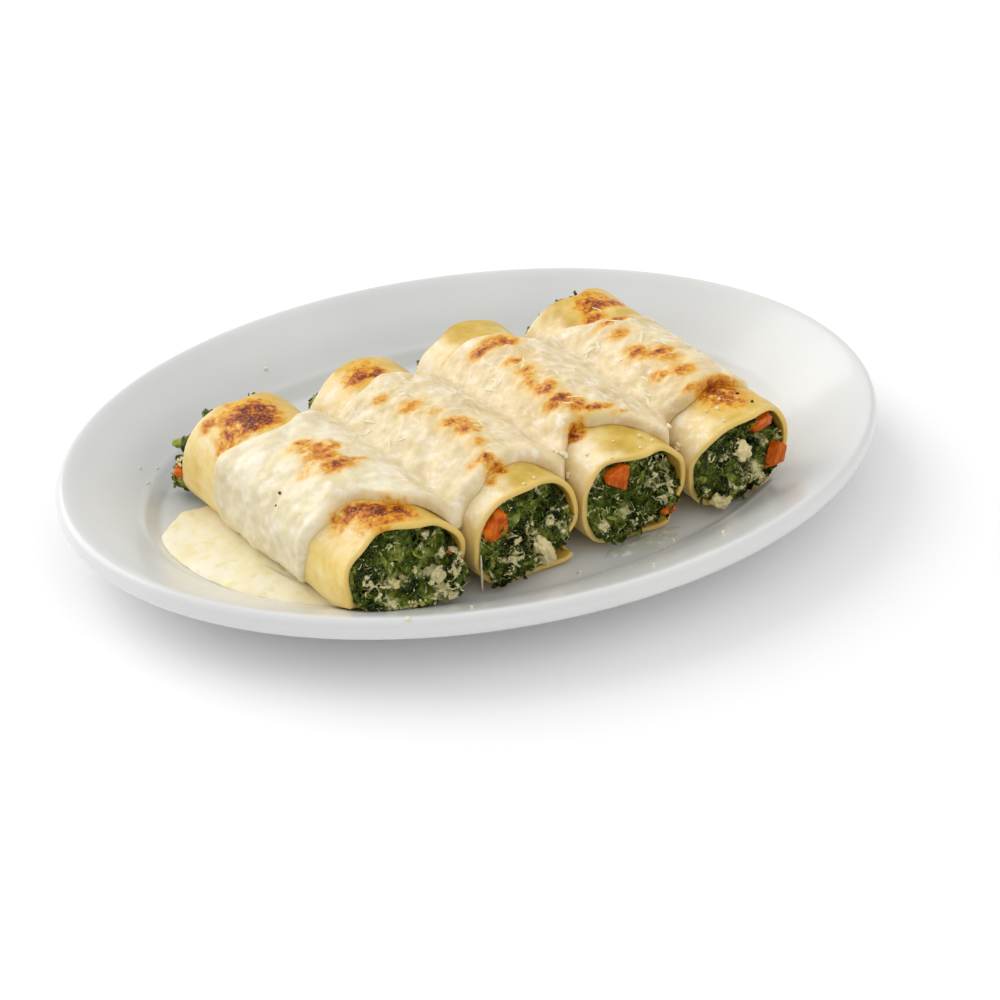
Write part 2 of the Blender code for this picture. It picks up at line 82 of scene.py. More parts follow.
# The tubes' ends.  The cut edge runs in a faint wave and reaches out or falls short, as (angle, half
# width, mm), by "rim" at the front and "back_rim" at the rear.  The sheet is painted pale from the
# pair of angles after "soaked", one at the front and one at the rear: painted sheen where the window
# light grazes its upper left side.  Past "soaked" it is deep yellow again.  The filling sags out by
# "slump" and at the front to the right by "spill", and swells out at the rear where it has "burst".
ROLL_ENDS = (
    dict(
        wave=0.35, turns=3, phase=0.4, tongue=0.0, soaked=158, painted_sheen_from=(112, 108), slump=7.5, spill=8.5,
        rim=((20, 40, 3.0), (78, 20, 2.6), (112, 16, -2.8), (152, 24, -3.0), (190, 14, 1.0)),
        back_rim=((90, 14, -2.4), (140, 30, 1.8), (200, 34, 4.0)),
        burst=((121, 9, 4.2), (160, 12, 4.6), (190, 9, 6.0), (214, 9, 6.0), (232, 13, 9.0)),
    ),
    dict(
        wave=0.3, turns=4, phase=1.7, tongue=4.2, soaked=170, painted_sheen_from=(112, 114), slump=3.5, spill=0.0,
        rim=((-20, 30, 1.6), (40, 60, 1.3), (97, 24, 2.2), (165, 20, -0.6), (200, 20, -0.8)),
        back_rim=((68, 16, -0.8), (98, 18, 1.1), (142, 16, -1.1)),
        burst=((152, 18, 3.8),),
    ),
    dict(
        wave=0.35, turns=3, phase=2.6, tongue=2.0, soaked=178, painted_sheen_from=(114, 118), slump=2.6, spill=0.0,
        rim=((-20, 40, 1.8), (35, 30, 3.0), (88, 24, 4.8), (125, 16, -1.2), (170, 40, -1.0)),
        back_rim=((58, 20, -1.6), (100, 16, 1.3), (150, 16, 0.8)),
        burst=((163, 14, 3.2),),
    ),
    dict(
        wave=0.3, turns=4, phase=3.9, tongue=0.0, soaked=182, painted_sheen_from=(124, 134), slump=3.2, spill=0.5,
        rim=((0, 30, 0.8), (35, 16, -0.8), (92, 34, 6.4), (138, 26, 2.4)),
        back_rim=((62, 22, 3.0), (94, 14, -1.6), (125, 20, 1.0), (165, 34, 4.2)),
        burst=((100, 14, 5.4), (138, 20, 4.2), (166, 16, 3.4)),
    ),
)
TONGUE_ASIDE = 1.7                   # how far a tongue lies to the right and curls up, per mm of reach
TONGUE_LIFT = 0.3
FILLING_RECESS = 2.2
RIM_SHARE = 0.6                      # how far the filling follows the pasta's edge where that reaches out
SIDE_RECESS = 1.6                    # how much more the front shows of the sheet's inner wall on the right
MOUTH_CLEARANCE = 0.9
FRONT, REAR = -1, 1                  # the way each end of a roll faces along its axis,
SHARE_AT = {FRONT: 0.0, REAR: 1.0}   # and its share of the roll's length

# Bechamel blanket
BLANKET_LEFT_ANGLE = math.radians(232)
BLANKET_RIGHT_ANGLE = math.radians(-6)
RIGHT_HEM = math.radians(26)         # how unevenly it ends there
BLANKET_THICKNESS = 3.2
BLANKET_SOFTNESS = 4.0
LIP_LENGTH = 5.5                     # how far in from its front and rear edges the sauce is full
LIP_SHARE = 0.42                     # and its share of the thickness at the edge itself
BLANKET_CLEARANCE = OUTER_LAYER + GAP
THINNER_ON_LEFT = 0.72               # the share of its thickness it loses down the first roll's side
THINNER_ON_RIGHT = 0.6               # and down the last one's
VALLEY_TOP = 0.50
VALLEY_BOTTOM = 0.30
FRONT_EDGE = (                       # (station, distance behind the roll's front end)
    (0.0, 32), (0.4, 23), (0.58, 22), (0.7, 19), (0.88, 20), (0.95, 18), (1.05, 11), (1.23, 9), (1.33, 6.5),
    (1.42, 3.2), (1.5, 3.6), (1.6, 6), (1.75, 7), (1.85, 9), (2.0, 10), (2.18, 10), (2.3, 7), (2.38, 4),
    (2.5, 8), (2.6, 14), (2.8, 20), (2.9, 17), (3.05, 14), (3.15, 11), (3.25, 6), (3.35, 3), (3.45, 7),
    (3.55, 14), (3.75, 13), (4.0, 16), (4.17, 14), (4.35, 12), (4.6, 17), (4.85, 23), (5.0, 31),
)
REAR_EDGE = (
    (0.0, 72.5), (0.3, 74), (0.6, 73.5), (0.95, 64.5), (1.3, 71), (1.75, 74.5), (2.0, 76), (2.2, 70.5),
    (2.6, 83.5), (3.0, 80), (3.2, 73), (3.5, 81), (3.8, 70), (4.3, 66), (4.7, 62), (4.9, 56), (5.0, 49),
)
STATION_STEP = 42.0                  # about how far apart two crests lie, for the edges' unevenness

# Pool of sauce beside the first roll
POOL_LEVEL = WELL_FLOOR + 2.2
POOL_FILM, POOL_CROWN = 0.7, 1.0     # least thickness, and how much higher its middle is
POOL_INSET = 31.8
POOL_TURN = (math.radians(166), math.radians(234))
POOL_REAR_BULGE = -1.0
POOL_ALONG_ROLL = (0.02, 1.0)
POOL_UNDER_ROLL = 12.6
SMEARS = (                           # thin sauce on the plate, its grey partly painted shade: x, y, half length and width, lean, seed
    (30, -63.5, 12, 3.4, 0.10, 3), (43, -60, 5, 2.2, 0.2, 5),
)
SMEAR_FILM = 0.35

# Carrot dice and ricotta lumps set in the front ends; trimmed dice lose the corner that would lie
# behind the pasta's edge
CARROTS = (
    dict(roll=1, across=-13.0, height=31.6, proud=0.4, size=(8.0, 5.0, 9.4), turn=(4, 0, 8), trimmed=True),
    dict(roll=2, across=-7.8, height=35.0, proud=0.2, size=(6.8, 5.0, 7.4), turn=(-6, 14, -10), trimmed=True),
    dict(roll=3, across=8.4, height=34.8, proud=-0.4, size=(7.8, 5.0, 5.2), turn=(6, -14, 10), trimmed=False),
    dict(roll=3, across=14.0, height=21.6, proud=3.4, size=(4.6, 4.4, 7.6), turn=(0, 16, 14), trimmed=False),
)
HIDDEN_CORNER = ((-1, 0, 1), 0.52)
RICOTTA_LUMPS = (
    dict(roll=1, across=4.8, height=16.2, proud=3.8, size=(5.8, 4.6, 12.6), turn=(6, -30, 0)),
    dict(roll=3, across=-0.9, height=27.6, proud=2.0, size=(6.2, 4.4, 9.0), turn=(0, -42, 0)),
    dict(roll=3, across=-10.6, height=12.2, proud=4.6, size=(6.8, 4.6, 4.8), turn=(0, 28, 0)),
)

# Creamy places in the front ends: (roll, across, height, reach, strength)
CURD_PATCHES = (
    (0, 9, 23, 2.4, 0.9), (0, 5, 22.5, 1.6, 0.5), (0, 9.5, 18, 2.4, 0.9), (0, 12.5, 13, 2.0, 0.8),
    (0, -7.5, 25, 2.2, 1.0), (0, -2.5, 25, 1.6, 0.8), (0, -9.5, 20, 1.8, 0.6), (0, -2, 17.5, 1.8, 0.6),
    (0, 8.5, 35, 2.0, 0.7), (0, 6, 31.5, 1.8, 0.6), (0, 13.5, 27, 1.8, 0.8), (0, 18, 26, 1.5, 0.9),
    (0, 2.5, 26, 1.2, 0.8),
    (1, 14, 20, 3.6, 0.45), (1, -4, 31, 1.6, 0.5), (1, -4.3, 23, 1.4, 0.9), (1, 1, 12, 2.5, 0.4),
    (1, -11.5, 19, 1.8, 0.4), (1, 2, 26, 2.5, 0.35),
    (2, 9, 24.5, 3.6, 0.5), (2, 0, 30, 1.6, 0.6), (2, -13, 17.5, 2.2, 0.9), (2, 5, 15, 2.0, 0.6),
    (2, -1.5, 15, 2.4, 0.4), (2, 14.8, 23.7, 1.2, 0.9), (2, -6.5, 25, 1.2, 0.6),
    (3, 6, 18, 4.0, 0.6), (3, 11.5, 25, 2.0, 0.5), (3, -8, 27, 2.0, 0.7), (3, -12.6, 29.3, 1.5, 0.6),
    (3, 0.5, 16.5, 2.0, 0.45), (3, -15, 15, 1.6, 0.9), (3, -6, 16.5, 1.2, 0.8),
)
# Longer pale threads there: (roll, width, ((across, height), ...))
LONG_THREADS = (
    (0, 0.8, ((-10.2, 33), (-9, 30.5), (-4.8, 29))), (0, 0.7, ((-10.4, 33), (-7.4, 31.7))),
    (0, 0.5, ((-7, 37.8), (-8.2, 36))), (0, 0.45, ((-3.5, 40.5), (-2.2, 38))),
    (0, 0.7, ((-16, 23.4), (-13.6, 24.8))), (0, 0.6, ((-13, 34), (-9, 35.5))),
    (1, 0.45, ((-0.6, 36.5), (2, 31), (6.6, 27), (7, 22.5), (4.6, 21), (3, 20.5))),
    (1, 0.4, ((9, 28.5), (6.6, 26.8), (10.4, 22.5))), (1, 0.9, ((-4.7, 30), (-2, 31.6))),
    (1, 0.5, ((-9.6, 17.8), (-9, 15.8))),
    (2, 0.5, ((12.2, 24.5), (12.7, 22), (12.6, 20), (10.2, 17.7), (7.3, 16.7), (5, 17))),
    (3, 1.0, ((-6.2, 38.5), (-4.5, 34))),
)
# Small lumps of curd and small pieces of carrot: (roll, end, across, height, size)
CURD_BITS = (
    (0, FRONT, -7.4, 25.1, 3.6), (0, FRONT, -2.6, 25, 2.2), (0, FRONT, 13.4, 26, 1.8),
    (0, FRONT, 18.5, 26.2, 2.4), (0, FRONT, 13, 33.2, 1.8), (0, FRONT, 21, 22, 1.6),
    (0, FRONT, 18, 14, 2.0), (0, FRONT, 12, 16, 2.0), (0, FRONT, 2.4, 26, 1.8),
    (0, REAR, -23, 17, 2.4), (0, REAR, -25, 25, 1.6),
    (1, FRONT, -4.3, 23.2, 3.0), (1, FRONT, 2.2, 25.8, 1.0), (1, FRONT, -1.9, 17, 1.2),
    (1, FRONT, 16.6, 24.5, 1.0),
    (2, FRONT, 14.8, 24.5, 2.0), (2, FRONT, 14.8, 22.5, 1.6), (2, FRONT, -6.6, 25, 1.6),
    (2, FRONT, -14.5, 17.8, 2.4), (2, FRONT, -11, 17, 2.0),
    (3, FRONT, -6.2, 16.5, 1.6), (3, FRONT, -15.8, 15.6, 2.6), (3, FRONT, 9.5, 9.5, 3.2),
    (3, FRONT, -7, 27, 1.8),
)
CARROT_BITS = (
    (2, FRONT, 14.5, 12, 3.8), (0, REAR, -24.5, 18.5, 4.4), (0, FRONT, 15.9, 25.6, 2.4),
    (0, FRONT, -5.3, 38.3, 1.8),
)
# How many bits are strewn over each front and each rear end, and the range of their sizes
LEAVES = {FRONT: 190, REAR: 50}
LEAF_LENGTH, LEAF_THICKNESS = (2.2, 6.6), (0.14, 0.26)
LEAF_NARROWNESS = (0.3, 0.75)        # width as a share of length
THREADS = {FRONT: 150, REAR: 30}
THREAD_LENGTH, THREAD_WIDTH = (1.4, 5.2), (0.26, 0.6)
CRUMBS = {FRONT: 70, REAR: 20}

# Where the oven has caught the tops: (x, y) on the plan, radius along x and y, strength
BROWNED = (
    (-82, 4, 3.6, 3.4, 0.95), (-77, 9, 4, 3, 0.75), (-75, 1, 3.6, 2, 0.85), (-72, 9, 3, 2.6, 0.6),
    (-79, 5, 5, 4, 0.35), (-71, 6, 7, 6, 0.32), (-83, 12, 6, 5, 0.35), (-88, 4, 3.6, 3.6, 0.32),
    (-90, -1, 3, 3, 0.28), (-91, 14, 2.2, 1.8, 0.6), (-74, 15, 7, 4, 0.22),
    (-67, -29, 4, 3, 0.8), (-71, -21, 4, 2.5, 0.55), (-66, -37, 4, 3, 0.7), (-61, -36, 3, 2.5, 0.5),
    (-75, -34, 2, 2, 0.35), (-55, -35, 3, 1.6, 0.35), (-63, -25, 4, 2, 0.5),
    (-66, -55, 3.4, 1.9, 1.1), (-61, -58.6, 3.6, 2.1, 1.15), (-56, -61.2, 4, 1.8, 1.05),
    (-71, -57, 3.4, 3, 0.45), (-63, -65, 6, 3.4, 0.45), (-50, -60.5, 3, 1.4, 0.5), (-53, -65.5, 5, 2.6, 0.5),
    (-33, 18, 4, 3, 0.75), (-38, 17, 3, 3, 0.6), (-28, 18, 3, 2, 0.5), (-33, 25, 8, 4, 0.3),
    (-29, -12, 4, 3, 0.5), (-36, -2.5, 2.5, 2, 0.5), (-24, -20, 3, 2, 0.3),
    (-20, -28, 4, 2.5, 0.75), (-18, -34, 4, 2.5, 0.6), (-18, -42, 3, 3, 0.35), (-19, -51, 1.6, 1.8, 1.0),
    (-23.5, -51, 2.2, 1.6, 0.5), (-16.5, -54.5, 2.4, 1.4, 0.8), (-20, -57, 1.6, 2, 0.45),
    (2, 26, 3, 1.6, 0.6), (7.5, 13.5, 3.4, 2, 1.0), (15, 16, 5, 3, 0.5), (17, 12, 3, 3, 0.45),
    (14, 1, 4, 1.6, 0.65), (15, -7, 3.4, 3, 0.5), (13, -14, 3, 3, 0.42), (17, -21, 3, 3, 0.6),
    (17, -29, 4, 2, 1.0), (21, -34, 3, 2, 0.6), (14, -22, 2, 2, 0.4), (26, -38, 4, 1.6, 0.85),
    (33, -42, 2.6, 0.8, 0.6), (17.7, -41.5, 1.9, 1.9, 1.0), (15, -41, 2, 1, 0.4),
    (62, 36, 7, 4, 0.45), (57, 30, 3.6, 3.6, 1.0), (54.5, 22, 3.4, 2.2, 0.85), (67, 31, 4, 2.4, 0.75),
    (57, 11.5, 5, 1.6, 0.75), (55, 3.5, 3, 2, 0.75), (55, -9, 3, 3, 0.75), (62, -14, 4, 2.6, 0.95),
    (64, -20, 4, 2, 0.4), (63, -28, 3.4, 3, 0.75), (55, -25, 2, 2, 0.6), (60, -37, 2, 1, 0.5),
    (67, -40, 3.4, 2.6, 0.75), (71, -46.5, 6, 4.5, 0.6), (72.5, -38, 4, 2, 0.75), (77, -43, 5, 5, 0.3),
)

BROWNED_FALL = 0.62                  # how fast it fades from the middle
MOST_BROWNED = 1.25
BROWNED_FROM = (24, 34)              # heights between which the oven begins to catch

# Where melted shreds of cheese lie thickest: (x, y) on the plan, spread, how many
SHRED_ZONES = (
    (-57, -29, 7, 10), (-24, -12, 12, 60), (-12, -36, 9, 40), (2, -2, 11, 60), (22, -16, 12, 60),
    (46, -28, 10, 44), (40, 4, 12, 60), (72, -16, 9, 30), (66, 2, 9, 34), (56, 18, 8, 20), (28, 24, 9, 20),
    (-44, -8, 8, 20),
)
SHRED_LENGTH, SHRED_WIDTH = (2.5, 7), (0.6, 1.05)
SHRED_HEADING = -1.1                 # radians, the way most of them lie
EVERY_SHRED_UNMELTED = 5             # one in this many still stands out of the sauce
LEVEL_SHRED = 7                      # one that would hang down by more is left out
HANGING_SHREDS = (                   # two in front of the second roll: start, end, sag, width
    ((-28, -66.6, 22.0), (-27.4, -66.3, 7.4), (-0.3, -0.8, 0), 0.9),
    ((-25.6, -67.4, 15.8), (-21.6, -66.4, 8.6), (0.2, -0.8, -1.0), 1.2),
)

# Crumbs of grated cheese and flecks of herb, (x, y) on the plan
CRUMBS_ON_PASTA = (
    (24.7, -52.5), (34.2, -53.7), (37.4, -56), (21.7, -58.6), (16, -50.4), (31.3, -59.4), (-7.4, -62.4),
    (-11.9, -64.6), (68.5, -44.8), (65.5, -47.6), (62, -46.6), (64.7, -55.4),
)
CRUMBS_ON_PLATE = (
    (-42, -92), (20, -92), (6, -69), (50, -84), (-109, 37), (-103, 39), (-109, 31), (-49, 79), (-64, -93),
    (36, -70), (42, -66), (12, -73),
)
CRUMB_SIZE, EDGE_CRUMBS_LARGER = (0.7, 1.25), 1.7
CRUMBS_AT_EDGES = ((8.6, -48.6), (10.2, -50.4), (50.6, -46.4), (52.2, -47.8), (6.8, -47.0), (49.2, -45.0))
HERB_FLECKS = ((75.7, -43.5), (77.8, -49.9), (-82.5, -33.3), (-84.5, -34.6))
FLECK_SIZES = (1.1, 0.9, 1.2, 0.6)

# Camera: lens and sensor width, direction it looks from, distance, and how far it is moved aside
LENS, SENSOR = 85, 36
AZIMUTH, ELEVATION = math.radians(-24.1), math.radians(34.0)
DISTANCE = 0.8201
MOVED_RIGHT, MOVED_DOWN = 0.00765, 0.00475
NEAREST, FARTHEST = 0.01, 20

# Lights: name, strength, spread in degrees, where it comes from
LIGHTS = (
    ("window light", 1.5, 56, (-0.574, 0.819, 0.65)),
    ("ceiling light", 0.32, 80, (0.0, 0.0, 1.0)),
    ("far window", 0.28, 60, (0.6, -0.6, 0.6)),
)
ROOM_STRENGTH = 0.69
FLOOR_HALF = 10.0                    # metres, wide enough to fill the view from a low angle

# How fine the meshes are: points round a body or a sheet, and along it
PLATE_SPOKES = 260
PROFILE_STEPS = 6                    # between two points of the plate's section
SHEET_AROUND, SHEET_ROWS = 150, 70
FILLING_SPOKES = 210
FILLING_RINGS = {FRONT: 56, REAR: 30}
BLANKET_STATIONS, BLANKET_ROWS = 380, 160
POOL_SPOKES, POOL_RINGS = 300, 34
SMEAR_SPOKES, SMEAR_RINGS = 120, 12
EDGE_STEPS = 3                       # across a sheet's cut edge
LEAF_GRID = (9, 5)
THREAD_STEPS = 9
SHRED_STEPS = 9

# ------------------------------------------------------------------------------- shaping helpers

SHUFFLE = CHANCE.permutation(256)
SLOPES = np.array([
    (1, 1, 0), (-1, 1, 0), (1, -1, 0), (-1, -1, 0), (1, 0, 1), (-1, 0, 1),
    (1, 0, -1), (-1, 0, -1), (0, 1, 1), (0, -1, 1), (0, 1, -1), (0, -1, -1),
])


def noise(points, size, seed=0):
    """Smooth unevenness, about -0.7 to 0.7, whose lumps are size mm across."""
    place = np.asarray(points, float) / size + 19.7 * (seed + 1)
    cell = np.floor(place).astype(int)
    part = place - cell
    ease = part**3 * (part * (part * 6 - 15) + 10)
    total = np.zeros(place.shape[:-1])
    for corner in np.ndindex(2, 2, 2):
        at = (cell + corner) & 255
        mixed = SHUFFLE[(SHUFFLE[(SHUFFLE[at[..., 0]] + at[..., 1]) & 255] + at[..., 2]) & 255]
        weight = np.prod(np.where(corner, ease, 1 - ease), axis=-1)
        total += weight * np.sum(SLOPES[mixed % 12] * (part - corner), axis=-1)
    return total


def layered(points, *layers):
    """The sum of unevenness of several sizes, each (amount, size in mm, seed)."""
    return sum(amount * noise(points, size, seed) for amount, size, seed in layers)


def puffs(points, size, seed=0):
    """Rounded lumps with creases between them, 0 in the creases to about 1 on top."""
    return np.abs(noise(points, size, seed)) * 2


def smooth_step(low, high, value):
    share = np.clip((value - low) / (high - low), 0, 1)
    return share * share * (3 - 2 * share)


def quarter_round(value):
    """Rises from 0 at 0 to 1 at 1 and beyond, along a quarter circle."""
    return np.sqrt(1 - (1 - np.clip(value, 0, 1)) ** 2)


def random_wave(places, slowest, quickest):
    """A sine along each row of places, each with its own pace and start."""
    pace = CHANCE.uniform(slowest, quickest, (len(places), 1))
    return np.sin(places * pace + CHANCE.uniform(0, 6, (len(places), 1)))


def unit(vectors):
    return vectors / np.linalg.norm(vectors, axis=-1, keepdims=True).clip(1e-9)


def normals_of(grid):
    """Unit normals of a grid of points; they face the side from which its first direction turns
    counterclockwise into its second."""
    return unit(np.cross(np.gradient(grid, axis=0), np.gradient(grid, axis=1)))


def cubic(s, start, leave, end, arrive):
    """A cubic Hermite curve at s of 0 to 1, from start to end, with its slopes at both."""
    return (
        (2 * s**3 - 3 * s**2 + 1) * start + (s**3 - 2 * s**2 + s) * leave
        + (3 * s**2 - 2 * s**3) * end + (s**3 - s**2) * arrive
    )


def through_points(points, value):
    """A curve through (position, value) pairs, level at each one's mean slope."""
    places, levels = np.array(points, float).T
    slopes = np.gradient(levels, places)
    k = int(np.clip(np.searchsorted(places, value) - 1, 0, len(places) - 2))
    width = places[k + 1] - places[k]
    s = (value - places[k]) / width
    return cubic(s, levels[k], width * slopes[k], levels[k + 1], width * slopes[k + 1])


def round_turn(count):
    """Evenly spaced angles once round, without the last."""
    return np.linspace(0, 2 * math.pi, count, endpoint=False)


def bumps_round(angle, bumps):
    """The sum of rounded bumps, each (middle in degrees, half width in degrees, height)."""
    total = np.zeros(np.shape(angle))
    for middle, width, height in bumps:
        turned = (np.degrees(angle) - middle + 180) % 360 - 180
        total = total + height * np.exp(-((turned / width) ** 2))
    return total


def gathered(share, pull):
    """Moves rows of 0 to 1 towards both ends, where an edge needs them closer together."""
    return share * (1 - pull) + (0.5 - 0.5 * np.cos(math.pi * share)) * pull


# ----------------------------------------------------------------------------------- mesh helpers


def quads(numbers, closed=False):
    """The quads over a grid of point numbers, joined round its second direction if closed."""
    if closed:
        numbers = np.concatenate([numbers, numbers[:, :1]], axis=1)
    corners = (numbers[:-1, :-1], numbers[1:, :-1], numbers[1:, 1:], numbers[:-1, 1:])
    return np.stack(corners, axis=-1).reshape(-1, 4).tolist()


def loft(rings):
    """Points and faces of a closed body through rings, with a fan over the first and the last."""
    count, size = rings.shape[:2]
    numbers = np.arange(count * size).reshape(count, size)
    points = np.concatenate([rings.reshape(-1, 3), [rings[0].mean(axis=0), rings[-1].mean(axis=0)]])
    faces = quads(numbers, closed=True)
    for k in range(size):
        after = (k + 1) % size
        faces.append((int(numbers[0, k]), int(numbers[0, after]), count * size))
        faces.append((int(numbers[-1, after]), int(numbers[-1, k]), count * size + 1))
    return points, faces


def sheet(top, bottom, bulge):
    """Points and faces of a closed body between two grids with the same columns.  The edges that
    cross the columns are rounded and stand out by bulge mm."""
    turn = np.linspace(0, math.pi, EDGE_STEPS + 2)[1:-1, None]

    def rounded(start, end, outward):
        middle, half = (start + end) / 2, (start - end) / 2
        return middle[:, None] + half[:, None] * np.cos(turn) + bulge * outward[:, None] * np.sin(turn)

    rear = rounded(top[:, -1], bottom[:, -1], unit(top[:, -1] - top[:, -3]))
    front = rounded(bottom[:, 0], top[:, 0], unit(top[:, 0] - top[:, 2]))
    rings = np.concatenate([top, rear, bottom[:, ::-1], front], axis=1)
    numbers = np.arange(rings.shape[0] * rings.shape[1]).reshape(rings.shape[:2])
    faces = quads(numbers, closed=True)
    upper_count, lower_count = top.shape[1], bottom.shape[1]
    match = np.round(np.linspace(0, lower_count - 1, upper_count)).astype(int)
    for side, order in ((0, 1), (-1, -1)):
        ring = numbers[side].tolist()
        upper, rear_edge = ring[:upper_count], ring[upper_count:upper_count + EDGE_STEPS]
        lower = ring[upper_count + EDGE_STEPS:upper_count + EDGE_STEPS + lower_count][::-1]
        strips = [(upper[-1], *rear_edge, lower[-1]), (lower[0], *ring[-EDGE_STEPS:], upper[0])]
        for k in range(upper_count - 1):
            near, far = lower[match[k]], lower[match[k + 1]]
            strips.append((upper[k], upper[k + 1], far) + ((near,) if near != far else ()))
        faces += [strip[::order] for strip in strips]
    return rings.reshape(-1, 3), faces


def joined(copies, faces):
    """Points and faces of many small bodies as one; copies is (body, point, xyz)."""
    count, size = copies.shape[:2]
    steps = (np.arange(count) * size)[:, None, None]
    return copies.reshape(-1, 3), (np.array(faces) + steps).reshape(-1, len(faces[0])).tolist()


def ball(cuts):
    """Points of a cube one unit from its middle to its sides, cut into a grid, and its quads."""
    mesh = bmesh.new()
    bmesh.ops.create_cube(mesh, size=2)
    bmesh.ops.subdivide_edges(mesh, edges=mesh.edges[:], cuts=cuts, use_grid_fill=True)
    points = np.array([vert.co for vert in mesh.verts])
    faces = [[vert.index for vert in face.verts] for face in mesh.faces]
    mesh.free()
    return points, faces


def worn_block(cube, squareness):
    """A cube's points drawn in to a block with round edges; 2 gives a ball, more a squarer one."""
    direction = unit(cube)
    reach = np.sum(np.abs(direction) ** squareness, axis=-1, keepdims=True) ** (-1 / squareness)
    return direction * reach


def random_frames(count, facing, lean):
    """Right-handed axes for loose bits: the third lies near facing, up to lean radians off it."""
    tilt = CHANCE.normal(size=(count, 3))
    upward = unit(facing + np.tan(lean) * tilt * CHANCE.uniform(0, 1, (count, 1)))
    along = unit(np.cross(upward, CHANCE.normal(size=(count, 3))))
    return np.stack([along, np.cross(upward, along), upward], axis=1)


def add_object(name, data):
    """Puts a mesh, light or camera into the scene."""
    made = bpy.data.objects.new(name, data)
    bpy.context.scene.collection.objects.link(made)
    return made


def make_piece(name, shape, finish, slot, stands_for=(), **marks):
    """A closed mesh turned outwards that rides on the plate; marks are values kept at its points."""
    points, faces = shape
    mesh = bpy.data.meshes.new(name)
    mesh.from_pydata((points * MM).tolist(), [], faces)
    mesh.shade_smooth()
    for mark, values in marks.items():
        kept = mesh.attributes.new(mark, "FLOAT", "POINT")
        kept.data.foreach_set("value", np.asarray(values, np.float32).ravel())
    mesh.calc_loop_triangles()
    corners = np.zeros(len(mesh.loop_triangles) * 3, np.int32)
    mesh.loop_triangles.foreach_get("vertices", corners)
    a, b, c = np.moveaxis(points[corners.reshape(-1, 3)], 1, 0)
    if np.sum(a * np.cross(b, c)) < 0:
        mesh.flip_normals()
    mesh.materials.append(finish)
    piece = add_object(name, mesh)
    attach(piece, "root")
    if stands_for:
        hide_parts(*stands_for)
    return piece


# --------------------------------------------------------------------------------------- finishes


def hex_colour(code):
    """An sRGB hex value as linear red, green and blue, with an opaque fourth value."""
    channels = [int(code[k:k + 2], 16) / 255 for k in (1, 3, 5)]
    return (*(c / 12.92 if c <= 0.04045 else ((c + 0.055) / 1.055) ** 2.4 for c in channels), 1.0)


def set_inputs(tree, target, inputs):
    """Gives a node's inputs another node's output, a colour as a hex value, or a plain value."""
    for name, value in inputs.items():
        if isinstance(value, bpy.types.NodeSocket):
            tree.links.new(value, target.inputs[name])
        else:
            target.inputs[name].default_value = hex_colour(value) if isinstance(value, str) else value


def node(tree, kind, inputs=None, stops=(), output=0, **settings):
    """Adds one node and gives one of its outputs.  Stops are the (place, hex colour or grey) pairs
    of a colour ramp."""
    made = tree.nodes.new("ShaderNode" + kind)
    for name, value in settings.items():
        setattr(made, name, value)
    set_inputs(tree, made, inputs or {})
    for k, (place, value) in enumerate(stops):
        ramp = made.color_ramp.elements
        element = ramp[k] if k < len(ramp) else ramp.new(place)
        element.position = place
        element.color = hex_colour(value) if isinstance(value, str) else (value, value, value, 1)
    return made.outputs[output]


def per(size):
    """The texture scale whose features are size mm across."""
    return 1 / (size * MM)


def start_finish(name, sockets):
    """A material's node tree, its shader with the values that are the same all over, and the
    coordinates of the object itself."""
    made = bpy.data.materials.new(name)
    made.use_nodes = True
    tree = made.node_tree
    shader = tree.nodes["Principled BSDF"]
    set_inputs(tree, shader, sockets)
    return made, tree, shader, node(tree, "TexCoord", output="Object")


def browning(tree, where, base):
    """Oven browning over a base colour, from the "browned" mark: a faint warm haze; a glaze from
    gold to amber and red-brown, with soft edges; then, only in the hottest places, milk and egg
    burnt to dark grains a millimetre across with paler ones between.  Gives colour and grain."""
    mark = node(tree, "Attribute", output="Fac", attribute_name="browned")
    patch = node(tree, "TexNoise", {"Vector": where, "Scale": per(3.4), "Detail": 3.0, "Roughness": 0.6})
    mottle = node(tree, "TexNoise", {"Vector": where, "Scale": per(1.5), "Detail": 2.0, "Roughness": 0.7})
    grain = node(tree, "TexNoise", {"Vector": where, "Scale": per(1.05), "Detail": 2.0, "Roughness": 0.7})
    clumps = node(tree, "Math", {0: patch, 1: 2.8, 2: -0.57}, operation="MULTIPLY_ADD")
    spread = node(tree, "Math", {0: mark, 1: clumps}, operation="MULTIPLY")
    uneven = node(tree, "Math", {0: mottle, 1: 2.6, 2: -0.3}, operation="MULTIPLY_ADD")
    level = node(tree, "Math", {0: spread, 1: uneven}, operation="MULTIPLY")
    haze = node(tree, "ValToRGB", {"Fac": mark}, ((0.0, 0.0), (0.5, 0.6)))
    warmed = node(tree, "MixRGB", {"Fac": haze, "Color1": base, "Color2": "#e6b868"})
    glaze = node(tree, "ValToRGB", {"Fac": level}, (
        (0.05, "#f0d480"), (0.22, "#e3ae2e"), (0.44, "#d48806"), (0.70, "#b05000"), (0.98, "#7a2600")))
    cover = node(tree, "ValToRGB", {"Fac": spread}, ((0.02, 0.0), (0.34, 0.94)))
    glazed = node(tree, "MixRGB", {"Fac": cover, "Color1": warmed, "Color2": glaze})
    burnt = node(tree, "ValToRGB", {"Fac": spread}, ((0.78, 0.0), (1.0, 0.78)))
    for stops, colour in ((((0.51, 0.0), (0.58, 1.0)), "#4c1200"), (((0.36, 1.0), (0.43, 0.0)), "#da9048")):
        chosen = node(tree, "ValToRGB", {"Fac": grain}, stops)
        share = node(tree, "Math", {0: burnt, 1: chosen}, operation="MULTIPLY")
        glazed = node(tree, "MixRGB", {"Fac": share, "Color1": glazed, "Color2": colour})
    return glazed, node(tree, "Math", {0: burnt, 1: grain}, operation="MULTIPLY")


